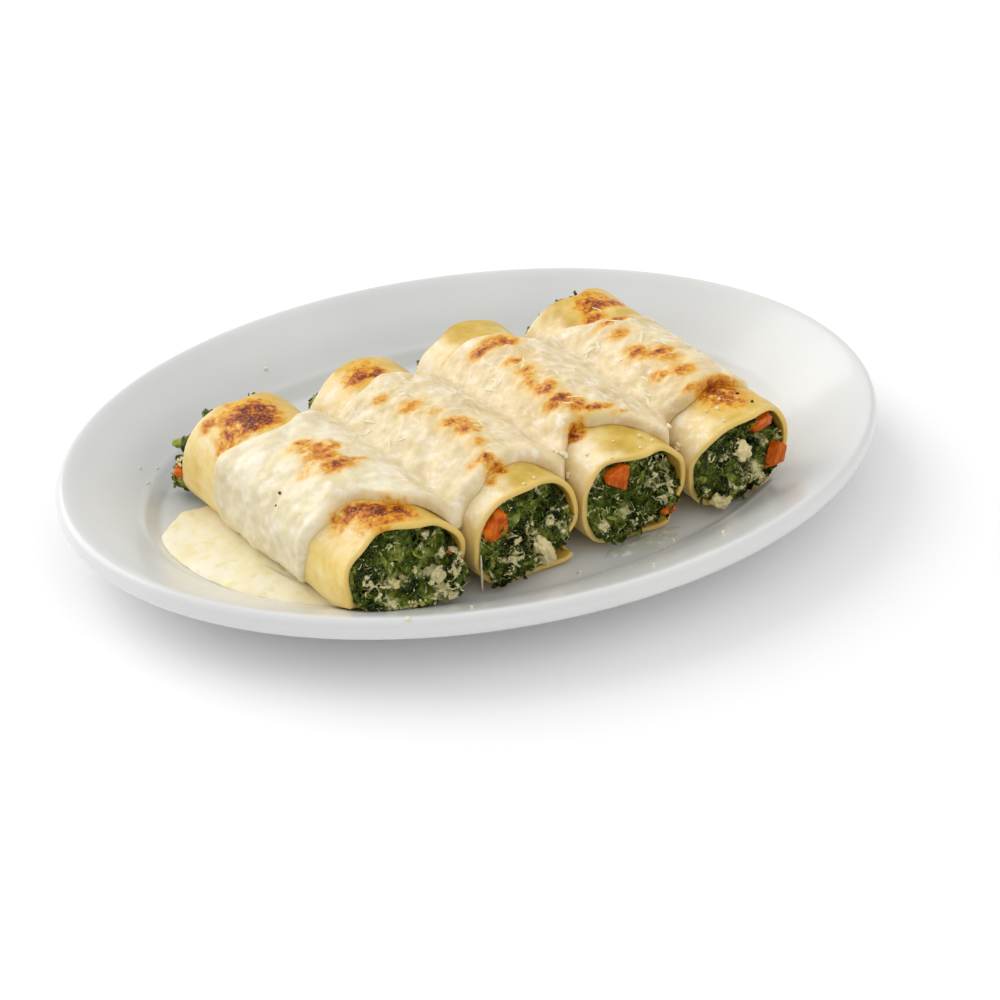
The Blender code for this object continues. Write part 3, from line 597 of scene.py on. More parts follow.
def glazed_porcelain():
    """Fired clay under a clear glaze: a neutral white that is smooth and glossy, faintly wavy where
    the glaze has run, and dull on the foot ring, which is wiped bare before firing."""
    made, tree, shader, where = start_finish(
        "glazed porcelain", {"IOR": 1.52, "Coat Weight": 0.12, "Coat Roughness": 0.08})
    cloud = node(tree, "TexNoise", {"Vector": where, "Scale": per(38), "Detail": 2.0})
    body = node(tree, "ValToRGB", {"Fac": cloud}, ((0.3, "#d9dad9"), (0.7, "#dedfdd")))
    height = node(tree, "SeparateXYZ", {"Vector": where}, output="Z")
    bare = node(tree, "MapRange", {
        "Value": height, "From Min": 0.9 * MM, "From Max": 0.2 * MM, "To Min": 0.0, "To Max": 1.0})
    foot = node(tree, "MixRGB", {"Fac": bare, "Color1": body, "Color2": "#cfc8bb"})
    fine = node(tree, "TexNoise", {"Vector": where, "Scale": per(9), "Detail": 2.0})
    polish = node(tree, "MapRange", {"Value": fine, "To Min": 0.22, "To Max": 0.27})
    dull = node(tree, "Math", {0: bare, 1: 0.5, 2: polish}, operation="MULTIPLY_ADD")
    wave = node(tree, "Bump", {"Height": cloud, "Strength": 0.25, "Distance": 0.25 * MM})
    set_inputs(tree, shader, {"Base Color": foot, "Roughness": dull, "Normal": wave})
    return made


def egg_pasta():
    """Boiled and baked egg dough: waxy yellow, a little see-through, deeper where it is thick or was
    cut.  It is dried on top; where it is marked pale it carries a painted sheen of the window light
    with flour-white starch spots over it, it is yellow again where it is marked soaked, and it is
    browned by the oven."""
    made, tree, shader, where = start_finish("baked egg pasta", {
        "IOR": 1.45, "Specular IOR Level": 0.3, "Subsurface Weight": 0.25,
        "Subsurface Radius": (1.0, 0.7, 0.3), "Subsurface Scale": 1.2 * MM})
    cloud = node(tree, "TexNoise", {"Vector": where, "Scale": per(11), "Detail": 3.0, "Roughness": 0.6})
    # the middle set of tones is the painted sheen of the window light on the sheet's upper left side
    dried, painted_sheen_tones, soaked = (
        node(tree, "ValToRGB", {"Fac": cloud}, tuple(zip((0.30, 0.50, 0.72), tones)))
        for tones in (
            ("#c09c38", "#d4b252", "#e6ce86"), ("#ecd294", "#f2e0b2", "#f8ecd0"),
            ("#e0bd62", "#f0d380", "#f8e4a8"))
    )
    film = node(tree, "TexNoise", {"Vector": where, "Scale": per(2.8), "Detail": 3.0, "Roughness": 0.65})
    starch = node(tree, "ValToRGB", {"Fac": film}, ((0.50, 0.0), (0.64, 0.75)))
    starch_on_sheen = node(tree, "MixRGB", {"Fac": starch, "Color1": painted_sheen_tones, "Color2": "#fbf3e2"})
    wet, pale, inside = (
        node(tree, "Attribute", output="Fac", attribute_name=mark) for mark in ("soaked", "pale", "inside"))
    side = node(tree, "MixRGB", {"Fac": wet, "Color1": starch_on_sheen, "Color2": soaked})
    # where the pale mark is, the sheet takes the painted sheen, with flour-white starch spots over it
    skin = node(tree, "MixRGB", {"Fac": pale, "Color1": dried, "Color2": side})
    cut = node(tree, "ValToRGB", {"Fac": inside}, ((0.5, "#eccc74"), (0.9, "#cda23a")))
    bare = node(tree, "MapRange", {"Value": inside, "From Max": 0.45, "To Max": 0.85})
    deeper = node(tree, "MixRGB", {"Fac": bare, "Color1": skin, "Color2": cut})
    colour, crust = browning(tree, where, deeper)
    gloss = node(tree, "MapRange", {"Value": cloud, "To Min": 0.30, "To Max": 0.50})
    fine = node(tree, "TexNoise", {"Vector": where, "Scale": per(0.9), "Detail": 2.0})
    height = node(tree, "Math", {0: crust, 1: 3.0, 2: fine}, operation="MULTIPLY_ADD")
    bump = node(tree, "Bump", {"Height": height, "Strength": 0.5, "Distance": 0.12 * MM})
    set_inputs(tree, shader, {"Base Color": colour, "Roughness": gloss, "Normal": bump})
    return made


def bechamel_sauce(name, young, ripe, tinge, risen):
    """Butter, flour and milk with melted cheese: a thick cream that light sinks into, glossy where
    the fat has risen, its fat tinged yellow-green and its top caught by the oven.  The deep and the
    pale tone go from young to ripe with the "ripe" mark, as does how much fat has risen, and strands
    of cheese show paler."""
    made, tree, shader, where = start_finish(name, {
        "IOR": 1.45, "Specular IOR Level": 0.4, "Subsurface Weight": 0.35,
        "Subsurface Radius": (1.0, 0.8, 0.5), "Subsurface Scale": 1.2 * MM})
    broad = node(tree, "TexNoise", {"Vector": where, "Scale": per(12), "Detail": 4.0, "Roughness": 0.6})
    white, yellow = (
        node(tree, "ValToRGB", {"Fac": broad}, ((0.34, deep), (0.62, pale))) for deep, pale in (young, ripe))
    age, strand = (node(tree, "Attribute", output="Fac", attribute_name=mark) for mark in ("ripe", "strand"))
    base = node(tree, "MixRGB", {"Fac": age, "Color1": white, "Color2": yellow})
    fat = node(tree, "TexNoise", {"Vector": where, "Scale": per(4.8), "Detail": 3.0, "Roughness": 0.6})
    islands = node(tree, "ValToRGB", {"Fac": fat}, ((0.53, 0.0), (0.70, 0.9)))
    amount = node(tree, "Math", {0: age, 1: 0.95 - risen, 2: risen}, operation="MULTIPLY_ADD")
    pools = node(tree, "Math", {0: islands, 1: amount}, operation="MULTIPLY")
    clots = node(tree, "ValToRGB", {"Fac": fat}, ((0.30, 0.8), (0.46, 0.0)))
    clotted = node(tree, "MixRGB", {"Fac": clots, "Color1": base, "Color2": "#f7f0df"})
    fatty = node(tree, "MixRGB", {"Fac": pools, "Color1": clotted, "Color2": tinge})
    stringy = node(tree, "MixRGB", {"Fac": strand, "Color1": fatty, "Color2": "#efe2c0"})
    colour, crust = browning(tree, where, stringy)
    gloss = node(tree, "MapRange", {"Value": fat, "To Min": 0.46, "To Max": 0.26})
    fine = node(tree, "TexNoise", {"Vector": where, "Scale": per(1.7), "Detail": 3.0, "Roughness": 0.6})
    height = node(tree, "Math", {0: crust, 1: 1.6, 2: fine}, operation="MULTIPLY_ADD")
    bump = node(tree, "Bump", {"Height": height, "Strength": 0.7, "Distance": 0.24 * MM})
    set_inputs(tree, shader, {"Base Color": colour, "Roughness": gloss, "Normal": bump})
    return made


def chopped_spinach(name, mark):
    """Boiled leaves cut fine and squeezed: deep wet greens, lighter with the given mark; on the core
    that mark is how far its lumps stand out, so painted shade takes its creases nearly black, and broad
    patches of painted shade darken it further.  There are small bright glints, the leaf veins as a fine
    paler net, and curd smeared over them."""
    made, tree, shader, where = start_finish(name, {"IOR": 1.33, "Specular IOR Level": 0.16})
    leaf = node(tree, "TexNoise", {"Vector": where, "Scale": per(3.2), "Detail": 4.0, "Roughness": 0.65})
    tone, curd_mark = (node(tree, "Attribute", output="Fac", attribute_name=kept) for kept in (mark, "curd"))
    # broad patches of painted shade over the greens
    shade_zone = node(tree, "TexNoise", {"Vector": where, "Scale": per(9), "Detail": 1.0})
    shaded = node(tree, "Math", {0: shade_zone, 1: 0.7, 2: -0.35}, operation="MULTIPLY_ADD")
    varied_and_shaded = node(tree, "Math", {0: leaf, 1: shaded}, operation="ADD")
    # the mark lightens the greens; with the core's raised mark this leaves painted shade, nearly black, in
    # its creases
    mixed = node(tree, "Math", {0: tone, 1: 0.5, 2: varied_and_shaded}, operation="MULTIPLY_ADD")
    green = node(tree, "ValToRGB", {"Fac": mixed}, (
        (0.42, "#070a02"), (0.60, "#253309"), (0.80, "#5b6b1b"), (0.97, "#a2a64e")))
    cells = node(tree, "TexVoronoi", {"Vector": where, "Scale": per(1.2)}, feature="DISTANCE_TO_EDGE")
    veins = node(tree, "ValToRGB", {"Fac": cells}, ((0.0, 0.30), (0.07, 0.0)))
    veined = node(tree, "MixRGB", {"Fac": veins, "Color1": green, "Color2": "#97a05e"})
    smear = node(tree, "TexNoise", {"Vector": where, "Scale": per(1.1), "Detail": 3.0, "Roughness": 0.8})
    coat = node(tree, "Math", {0: smear, 1: 0.9, 2: curd_mark}, operation="MULTIPLY_ADD")
    cover = node(tree, "ValToRGB", {"Fac": coat}, ((0.72, 0.0), (0.95, 0.95)))
    milky = node(tree, "ValToRGB", {"Fac": coat}, ((0.70, "#868e42"), (0.86, "#bcbb7c"), (1.0, "#e8deaa")))
    coated = node(tree, "MixRGB", {"Fac": cover, "Color1": veined, "Color2": milky})
    wet = node(tree, "MapRange", {"Value": leaf, "To Min": 0.14, "To Max": 0.40})
    bump = node(tree, "Bump", {"Height": cells, "Strength": 0.7, "Distance": 0.25 * MM})
    set_inputs(tree, shader, {"Base Color": coated, "Roughness": wet, "Normal": bump})
    return made


def curd(name, pale, deep, softness):
    """Fresh or grated cheese: crumbly milk solids, cream white with yellower hollows and a moist
    skin.  Lumps big enough scatter light close under it; softness is how far, in mm."""
    made, tree, shader, where = start_finish(name, {
        "IOR": 1.44, "Subsurface Weight": 0.3 if softness else 0.0, "Subsurface Radius": (1.0, 0.8, 0.5),
        "Subsurface Scale": softness * MM})
    cloud = node(tree, "TexNoise", {"Vector": where, "Scale": per(2.4), "Detail": 4.0, "Roughness": 0.65})
    base = node(tree, "ValToRGB", {"Fac": cloud}, ((0.3, deep), (0.65, pale)))
    wet = node(tree, "MapRange", {"Value": cloud, "To Min": 0.32, "To Max": 0.6})
    fine = node(tree, "TexNoise", {"Vector": where, "Scale": per(0.7), "Detail": 2.0})
    bump = node(tree, "Bump", {"Height": fine, "Strength": 0.6, "Distance": 0.15 * MM})
    set_inputs(tree, shader, {"Base Color": base, "Roughness": wet, "Normal": bump})
    return made


def cooked_carrot():
    """Diced carrot, cooked soft: saturated orange with the paler fibres of the root along it and a
    moist, slightly see-through surface."""
    made, tree, shader, where = start_finish("cooked carrot", {
        "IOR": 1.42, "Specular IOR Level": 0.3, "Subsurface Weight": 0.2,
        "Subsurface Radius": (1.0, 0.35, 0.08), "Subsurface Scale": 1.2 * MM})
    cloud = node(tree, "TexNoise", {"Vector": where, "Scale": per(3.0), "Detail": 3.0})
    base = node(tree, "ValToRGB", {"Fac": cloud}, ((0.3, "#b24200"), (0.5, "#d05a00"), (0.72, "#e67e10")))
    stretch = node(tree, "Mapping", {"Vector": where, "Scale": (1.0, 1.0, 0.22)})
    fibre = node(tree, "TexNoise", {"Vector": stretch, "Scale": per(0.8), "Detail": 2.0})
    streak = node(tree, "ValToRGB", {"Fac": fibre}, ((0.5, 0.0), (0.7, 0.4)))
    streaked = node(tree, "MixRGB", {"Fac": streak, "Color1": base, "Color2": "#f09c38"})
    wet = node(tree, "MapRange", {"Value": cloud, "To Min": 0.25, "To Max": 0.45})
    bump = node(tree, "Bump", {"Height": fibre, "Strength": 0.5, "Distance": 0.18 * MM})
    set_inputs(tree, shader, {"Base Color": streaked, "Roughness": wet, "Normal": bump})
    return made


def pale_floor():
    """A matt white studio sweep, its paint showing a very faint mottle."""
    made, tree, shader, where = start_finish("matt white sweep", {"Roughness": 0.9, "IOR": 1.3})
    mottle = node(tree, "TexNoise", {"Vector": where, "Scale": per(60), "Detail": 2.0})
    paint = node(tree, "ValToRGB", {"Fac": mottle}, ((0.3, "#fbfbfb"), (0.7, "#fcfcfc")))
    set_inputs(tree, shader, {"Base Color": paint})
    return made


# ------------------------------------------------------------------------------------------ plate


def outline(inset, turn):
    """x and y of the plate's oval, drawn in by inset mm."""
    return (PLATE_HALF_LENGTH - inset) * np.cos(turn), (PLATE_HALF_WIDTH - inset) * np.sin(turn)


def smoothed_profile(steps):
    """The plate's section as a smooth curve through its points (Catmull-Rom), never under the foot."""
    given = np.array(PLATE_PROFILE, float)
    padded = np.concatenate([[2 * given[0] - given[1]], given, [2 * given[-1] - given[-2]]])
    curve = []
    for before, start, end, after in zip(padded, padded[1:], padded[2:], padded[3:]):
        s = np.linspace(0, 1, steps, endpoint=False)[:, None]
        span = np.linalg.norm(end - start)
        leave = span * (end - before) / (span + np.linalg.norm(start - before))
        arrive = span * (after - start) / (np.linalg.norm(after - end) + span)
        curve.append(cubic(s, start, leave, end, arrive))
    curve = np.concatenate([*curve, given[-1:]])
    curve[:, 1] = np.maximum(curve[:, 1], 0.0)
    return curve


UPPER_POINTS = 7                     # how many points of the section lie past the rim's outer lip
PROFILE = smoothed_profile(PROFILE_STEPS)
UPPER_SIDE = PROFILE[-UPPER_POINTS * PROFILE_STEPS - 1:]


def plate_height(plan):
    """Height of the plate's upper surface under points of the plan, from the inset whose ellipse
    passes through each, found by bisection."""
    low, high = np.zeros(plan.shape[:-1]), np.full(plan.shape[:-1], PLATE_HALF_WIDTH * 0.98)
    for _ in range(18):
        middle = (low + high) / 2
        reach = np.hypot(
            plan[..., 0] / (PLATE_HALF_LENGTH - middle), plan[..., 1] / (PLATE_HALF_WIDTH - middle))
        low, high = np.where(reach < 1, middle, low), np.where(reach < 1, high, middle)
    return np.interp(low, UPPER_SIDE[:, 0], UPPER_SIDE[:, 1])


def build_plate(finish):
    """The plate as rings round its section, closed over the middle of its underside and its well."""
    turn = round_turn(PLATE_SPOKES)
    inset, height = PROFILE[:, :1], PROFILE[:, 1:]
    rings = np.stack(np.broadcast_arrays(*outline(inset, turn), height), axis=-1)
    under = [rings[0] * (k, k, 1) for k in (0.1, 0.5)]
    well = [rings[-1] * (k, k, 1) for k in (0.8, 0.45, 0.1)]
    shape = loft(np.stack([*under, *rings, *well]))
    return make_piece("glazed_plate", shape, finish, "porcelain", ("plate",))


# ------------------------------------------------------------------------------------------ rolls


class Roll:
    """One cannellone: its axis on the plan and its cross-section along it."""

    def __init__(self, index):
        given = ROLLS[index]
        self.index, self.number = index, index + 1
        self.ends = ROLL_ENDS[index]
        self.front = np.array(given["front"])
        self.rear = np.array(given["rear"])
        self.length = float(np.linalg.norm(self.rear - self.front))
        self.along = (self.rear - self.front) / self.length
        self.across = np.array((self.along[1], -self.along[0]))
        self.mouths = {FRONT: self.front, REAR: self.rear}
        self.widths, self.heights = given["half_width"], given["height"]

    @staticmethod
    def blend(values, share):
        """The middle value, easing out to the end values over the last third of the length."""
        front, middle, rear = values
        return (
            middle
            + (front - middle) * (1 - smooth_step(0.0, 0.4, share))
            + (rear - middle) * smooth_step(0.6, 1.0, share)
        )

    def half_width(self, share):
        return self.blend(self.widths, share)

    def half_height(self, share):
        return self.blend(self.heights, share) / 2

    def middle_height(self, share):
        return WELL_FLOOR + self.half_height(share)

    def axis(self, share):
        return self.front + np.multiply.outer(np.asarray(share) * self.length, self.along)

    def point(self, share, angle, offset=0.0, shift=0.0, sideways=0.0):
        """On the tube's outer skin, pushed out by offset, along the axis by shift and across it."""
        share, angle, offset, shift, sideways = np.broadcast_arrays(share, angle, offset, shift, sideways)
        side, rise = np.cos(angle), np.sin(angle)
        power = np.where(rise >= 0, 1.0, 2 / np.where(side < 0, *LOWER_FLATNESS))
        side = np.sign(side) * np.abs(side) ** power * (self.half_width(share) + offset)
        rise = np.sign(rise) * np.abs(rise) ** power * (self.half_height(share) + offset)
        plan = self.front + np.multiply.outer(share * self.length + shift, self.along)
        plan = plan + np.multiply.outer(side + sideways, self.across)
        rest = plate_height(plan) + 0.1 + np.maximum(0.0, OUTER_LAYER - offset)
        height = np.maximum(self.middle_height(share) + rise, rest)
        return np.concatenate([plan, height[..., None]], axis=-1)

    def off_from(self, points, direction, across, height):
        """Squared distance of points from a place at an end, given across the roll and in height."""
        side = (points[..., :2] - self.mouths[direction]) @ self.across
        return (side - across) ** 2 + (points[..., 2] - height) ** 2

    def edge_reach(self, angle, direction):
        """How far the pasta's cut edge stands beyond an end of the axis at this angle."""
        wave = self.ends["wave"] * np.cos(self.ends["turns"] * angle + self.ends["phase"] + direction)
        return wave + bumps_round(angle, self.ends["rim" if direction == FRONT else "back_rim"])

    def tongue(self, angle):
        """How far the sheet's outer end reaches forward at the front end, as a rounded tongue."""
        rounded = 1 - 0.75 * smooth_step(SHEET_END - 0.3, SHEET_END, angle)
        return self.ends["tongue"] * smooth_step(SHEET_END - 0.95, SHEET_END - 0.35, angle) * rounded

    def relief(self, share, angle):
        """The cooked sheet's unevenness: slack waves, blisters and a fine leathery skin, pressed
        flatter where the sauce lies on it."""
        place = self.point(share, angle)
        bare = 1 - 0.6 * smooth_step(0.08, 0.2, share) * (1 - smooth_step(0.7, 0.8, share))
        k = self.index
        return bare * layered(place, (0.75, 24, k), (0.34, 9, k + 5), (0.10, 3.0, k + 9))

    def sheet_point(self, share, angle, depth):
        near_front = np.maximum(0.0, 1 - 3 * share) ** 2
        near_rear = np.maximum(0.0, 3 * share - 2) ** 2
        reach = self.edge_reach(angle, FRONT) + self.tongue(angle)
        shift = self.edge_reach(angle, REAR) * near_rear - reach * near_front
        tongue = self.tongue(angle) * near_front
        offset = layer_offset(angle) + self.relief(share, angle) - depth
        spot = self.point(share, angle, offset, shift, TONGUE_ASIDE * tongue)
        spot[..., 2] += TONGUE_LIFT * tongue
        return spot


def layer_offset(angle):
    """Where the rolled sheet lies against the tube's skin: under itself at its start, on top of
    itself at its end."""
    start = (1 - smooth_step(SHEET_START + 0.7, SHEET_START + 1.4, angle)) * INNER_LAYER
    end = smooth_step(SHEET_END - 1.4, SHEET_END - 0.7, angle) * OUTER_LAYER
    return start + end


def browned_at(points):
    """How far the oven has browned each point, 0 to about 1.2; only what stands high is caught."""
    level = np.zeros(points.shape[:-1])
    for x, y, reach_x, reach_y, strength in BROWNED:
        off = ((points[..., 0] - x) / reach_x) ** 2 + ((points[..., 1] - y) / reach_y) ** 2
        level += strength * np.exp(-BROWNED_FALL * off)
    return np.minimum(level, MOST_BROWNED) * smooth_step(*BROWNED_FROM, points[..., 2])


def sides_of(roll, points, angle):
    """How pale and how soaked the sheet is: painted pale on its upper left side, a painted sheen where
    the window light grazes it, yellow with sauce lower down there, and deeper yellow on top, where it
    has dried."""
    share = (points[..., :2] - roll.front) @ roll.along / roll.length
    turned = np.degrees(angle) + 18 * noise(points, 11, 61) + 8 * noise(points, 3.5, 62)
    start = np.interp(share, (0, 1), roll.ends["painted_sheen_from"])
    return smooth_step(start - 14, start + 14, turned), smooth_step(-26, 4, turned - roll.ends["soaked"])


def build_pasta(roll, finish):
    """The sheet rolled into a tube, its cut edges slightly rounded."""
    rows = gathered(np.linspace(0, 1, SHEET_ROWS), 0.5)[None, :]
    line = np.stack([rows * roll.length, 0 * rows + 5 * roll.index, 0 * rows], axis=-1)
    wander = smooth_step(0.05, 0.25, rows) * layered(line, (1.0, 16, 71), (0.4, 5, 72))
    last = SHEET_END + UNEVEN_SEAM * wander
    angle = SHEET_START + (last - SHEET_START) * np.linspace(0, 1, SHEET_AROUND)[:, None]
    outer = roll.sheet_point(rows, angle, 0.0)
    inner = roll.sheet_point(rows, angle, PASTA_THICKNESS)
    shape = sheet(outer, inner, 0.35)
    inside = np.zeros(len(shape[0])).reshape(len(angle), -1)
    inside[:, outer.shape[1]:] = 1.0
    inside[:, outer.shape[1]:][:, :EDGE_STEPS] = 0.5
    inside[:, -EDGE_STEPS:] = 0.5
    inside[:, :3] = (0.4, 0.25, 0.12)
    # pale is the painted sheen of the window light on the sheet's upper left side
    pale, soaked = sides_of(roll, shape[0].reshape(*inside.shape, 3), angle[:, :1])
    return make_piece(
        f"pasta_sheet_{roll.number}", shape, finish, "pasta", (f"pasta_{roll.number}",),
        browned=browned_at(shape[0]), inside=inside, pale=pale, soaked=soaked,
    )


# ---------------------------------------------------------------------------------------- filling


def filling_offset(angle):
    """The filling keeps clear of the sheet, and of its first turn where that lies inside."""
    return np.minimum(layer_offset(angle), 0.0) - PASTA_THICKNESS - GAP


def filling_end(roll, turn, angle, direction):
    """The filling's skin past an end: turn runs from 0 at the mouth to a right angle at the tip,
    while the lower part slumps out over the pasta's edge."""
    share = SHARE_AT[direction]
    reach = roll.ends["slump"] * np.sin(turn)
    centre = np.append(roll.axis(share), roll.middle_height(share) - 0.45 * roll.half_height(share))
    skin = roll.point(share, angle, filling_offset(angle))
    low = smooth_step(0.2, 0.8, (1 - np.sin(angle)) / 2)
    recess = FILLING_RECESS
    if direction == FRONT:
        recess = recess * (1 + SIDE_RECESS * smooth_step(-0.1, 0.9, np.cos(angle - math.radians(25))))
    rim = roll.edge_reach(angle, direction)
    rim = np.where(rim > 0, RIM_SHARE * rim, rim) * np.cos(turn)
    out = reach + rim - recess * (1 - low) + MOUTH_CLEARANCE * low
    points = centre + (skin - centre) * np.cos(turn)[..., None]
    points[..., :2] += np.multiply.outer(out * direction, roll.along)
    if direction == FRONT:
        on_right = smooth_step(-0.6, 0.6, np.cos(angle))
        spill = roll.ends["spill"] * smooth_step(0.13, 0.65, turn) * on_right * low
        points[..., :2] += np.multiply.outer(spill, roll.across)
    else:
        swell = bumps_round(angle, roll.ends["burst"]) * np.sin(2 * turn)
        points += unit(skin - centre) * (0.8 * swell)[..., None]
        points[..., :2] += np.multiply.outer(swell, roll.along)
    rest = plate_height(points[..., :2]) + 0.4
    points[..., 2] = np.maximum(points[..., 2], rest)
    return points


def curd_on(roll, points, direction):
    """How thickly curd coats the filling, 0 to 1: in its creases, and in the given places."""
    seed = roll.index * 5
    crease = smooth_step(0.42, 0.06, puffs(points, 4.4, seed))
    crease = crease + 0.5 * smooth_step(0.3, 0.05, puffs(points, 2.2, seed + 7))
    level = crease * (0.16 + 0.50 * smooth_step(0.0, 0.4, noise(points, 9.0, seed + 50)))
    if direction == FRONT:
        for number, x, height, reach, strength in CURD_PATCHES:
            if number == roll.index:
                off = roll.off_from(points, FRONT, x, height) / (0.8 * reach) ** 2
                level = level + strength * np.exp(-off)
    return np.clip(level, 0, 1)


def broken_end(roll, direction, angle):
    """An end of the filling broken up into leafy lumps: its grid of points, their normals, and how
    far the lumps stand out."""
    turn = np.linspace(0, math.pi / 2 - 0.02, FILLING_RINGS[direction])
    turn, around = np.meshgrid(turn, angle, indexing="ij")
    grid = filling_end(roll, turn, around, direction)
    seed = roll.index * 3 + direction
    lumps = 2.6 * puffs(grid, 6.0, seed) + 1.2 * puffs(grid, 2.8, seed + 30)
    lumps = lumps + 0.35 * puffs(grid, 1.2, seed + 60)
    wrapped = np.concatenate([grid[:, -1:], grid, grid[:, :1]], axis=1)
    out = normals_of(wrapped)[:, 1:-1] * -direction
    out = unit(out + np.append(roll.along * direction, 0.0) * 0.3)
    held = smooth_step(0.0, 0.25, turn)
    grid = grid + out * ((lumps - 1.75) * (0.2 + 0.8 * held))[..., None]
    grid[..., 2] = np.maximum(grid[..., 2], plate_height(grid[..., :2]) + 0.3)
    return grid, out, lumps


def build_filling(roll, finish):
    """Chopped spinach pressed into the tube, both ends broken up.  Gives each end's grid of points
    and normals, for what is strewn over it."""
    angle = SHEET_START + round_turn(FILLING_SPOKES)
    rings, raised, curds, ends = [], [], [], {}
    for direction in (FRONT, REAR):
        grid, out, lumps = broken_end(roll, direction, angle)
        ends[direction] = (roll, direction, grid, out)
        for kept, values in ((rings, grid), (raised, lumps), (curds, curd_on(roll, grid, direction))):
            kept += list(values[::direction])
        if direction == FRONT:
            shares = (0.12, 0.3, 0.5, 0.7, 0.9)
            rings += [roll.point(share, angle, filling_offset(angle)) for share in shares]
            raised += [np.zeros(len(angle))] * len(shares)
            curds += [np.zeros(len(angle))] * len(shares)
    shape = loft(np.stack(rings))
    # how far the lumps stand out, which the spinach finish turns into painted shade in the creases
    marks = np.append(np.clip(np.concatenate(raised) / 3.9, 0, 1), [0.5, 0.5])
    make_piece(
        f"spinach_core_{roll.number}", shape, finish, "filling", (f"filling_{roll.number}",),
        raised=marks, curd=np.append(np.concatenate(curds), [0.0, 0.0]))
    return ends


def kept_inside(end, points, ahead=0.6):
    """Points in or beyond the tube's wall, drawn in to its inner side, up to some mm ahead of its
    edge."""
    roll, direction = end[:2]
    share = SHARE_AT[direction]
    off = points[..., :2] - roll.axis(share)
    side, rise = off @ roll.across, points[..., 2] - roll.middle_height(share)
    angle = np.arctan2(rise, side)
    angle = np.where(angle < SHEET_START, angle + 2 * math.pi, angle)
    beyond = off @ roll.along * direction - roll.edge_reach(angle, direction)
    wide = roll.half_width(share) - PASTA_THICKNESS - GAP
    high = roll.half_height(share) - PASTA_THICKNESS - GAP
    power = np.where(rise > 0, 2.0, np.where(side < 0, *LOWER_FLATNESS))
    full = ((np.abs(side) / wide) ** power + (np.abs(rise) / high) ** power) ** (1 / power)
    pull = np.where((beyond < ahead) & (full > 1), 1 / np.maximum(full, 1), 1.0)
    drawn = points.copy()
    drawn[..., :2] += np.multiply.outer(side * (pull - 1), roll.across)
    drawn[..., 2] += rise * (pull - 1)
    return drawn


def spots_on(end, count, near=None):
    """Random points and normals on a filling's end, evenly over its area or gathered near a place,
    which is (across, height, spread)."""
    roll, direction, grid, out = end
    weight = np.linalg.norm(np.cross(np.gradient(grid, axis=0), np.gradient(grid, axis=1)), axis=-1)
    if near:
        off = roll.off_from(grid, direction, *near[:2])
        weight = weight * np.exp(-off / (2 * near[2] ** 2)) + 1e-30
    chosen = CHANCE.choice(weight.size, count, p=weight.ravel() / weight.sum())
    return grid.reshape(-1, 3)[chosen], out.reshape(-1, 3)[chosen]


def spot_at(end, across, height):
    """The point of a filling's end at a place across the roll and a height, and its normal."""
    roll, direction, grid, out = end
    off = roll.off_from(grid, direction, across, height)
    best = np.unravel_index(np.argmin(off), off.shape)
    return grid[best], out[best]


def leaf_template():
    """A scrap of leaf one unit long and wide: two skins of a small grid joined round the edge."""
    rows, columns = LEAF_GRID
    u, v = np.meshgrid(np.linspace(-1, 1, rows), np.linspace(-1, 1, columns), indexing="ij")
    width = np.sqrt(1 - (0.88 * u) ** 2)
    flat = np.stack([u / 2, v * width / 2, np.zeros_like(u)], axis=-1)
    lower, upper = np.arange(2 * rows * columns).reshape(2, rows, columns)
    rim = [(i, 0) for i in range(rows)] + [(rows - 1, j) for j in range(1, columns - 1)]
    rim += [(i, columns - 1) for i in range(rows - 1, -1, -1)] + [(0, j) for j in range(columns - 2, 0, -1)]
    faces = quads(upper) + quads(lower[::-1])
    for (i, j), (m, n) in zip(rim, rim[1:] + rim[:1]):
        faces.append([int(lower[i, j]), int(lower[m, n]), int(upper[m, n]), int(upper[i, j])])
    return flat.reshape(-1, 3), faces


def crumpled_leaves(flat, count):
    """Scraps of leaf round their own middles, each its own size, curled, folded and crimped."""
    length = CHANCE.uniform(*LEAF_LENGTH, (count, 1))
    width = length * CHANCE.uniform(*LEAF_NARROWNESS, (count, 1))
    x, y = flat[:, 0] * length, flat[:, 1] * width
    curl = CHANCE.uniform(-0.20, 0.04, (count, 1))
    fold = CHANCE.uniform(-0.8, 0.6, (count, 1))
    crimp = CHANCE.uniform(0.05, 0.30, (count, 1)) * random_wave(x, 1.4, 3.2)
    spot = np.stack([x, y, np.broadcast_to(np.arange(count)[:, None] * 7.3, x.shape)], axis=-1)
    lift = curl * x**2 + fold * np.abs(y) + crimp + 0.8 * noise(spot, 1.5, 90)
    thick = CHANCE.uniform(*LEAF_THICKNESS, (count, 1)) / 2
    skins = [np.stack([x, y, lift + side * thick], axis=-1) for side in (-1, 1)]
    return np.concatenate(skins, axis=1)


def strew_leaves(all_ends, finish):
    """Scraps of chopped leaf over both ends of every roll, paler at their edges."""
    flat, faces = leaf_template()
    pieces, tones, curds = [], [], []
    for ends in all_ends:
        for direction, count in LEAVES.items():
            place, out = spots_on(ends[direction], count)
            axes = random_frames(count, out, 0.85)
            local = crumpled_leaves(flat, count)
            buried = place + out * CHANCE.uniform(-0.4, 0.6, (count, 1))
            body = kept_inside(ends[direction], buried[:, None] + local @ axes, 2.0)
            pieces.append(body)
            edge = np.tile(np.maximum(np.abs(flat[:, 0] * 2), np.abs(flat[:, 1] * 2)) ** 6, (count, 2))
            tones.append((0.75 * CHANCE.uniform(0, 1, (count, 1)) ** 2 + 0.3 * edge).ravel())
            curds.append(curd_on(ends[direction][0], body, direction).ravel())
    return make_piece(
        "chopped_leaves", joined(np.concatenate(pieces), faces), finish, "filling",
        tone=np.concatenate(tones), curd=np.concatenate(curds))


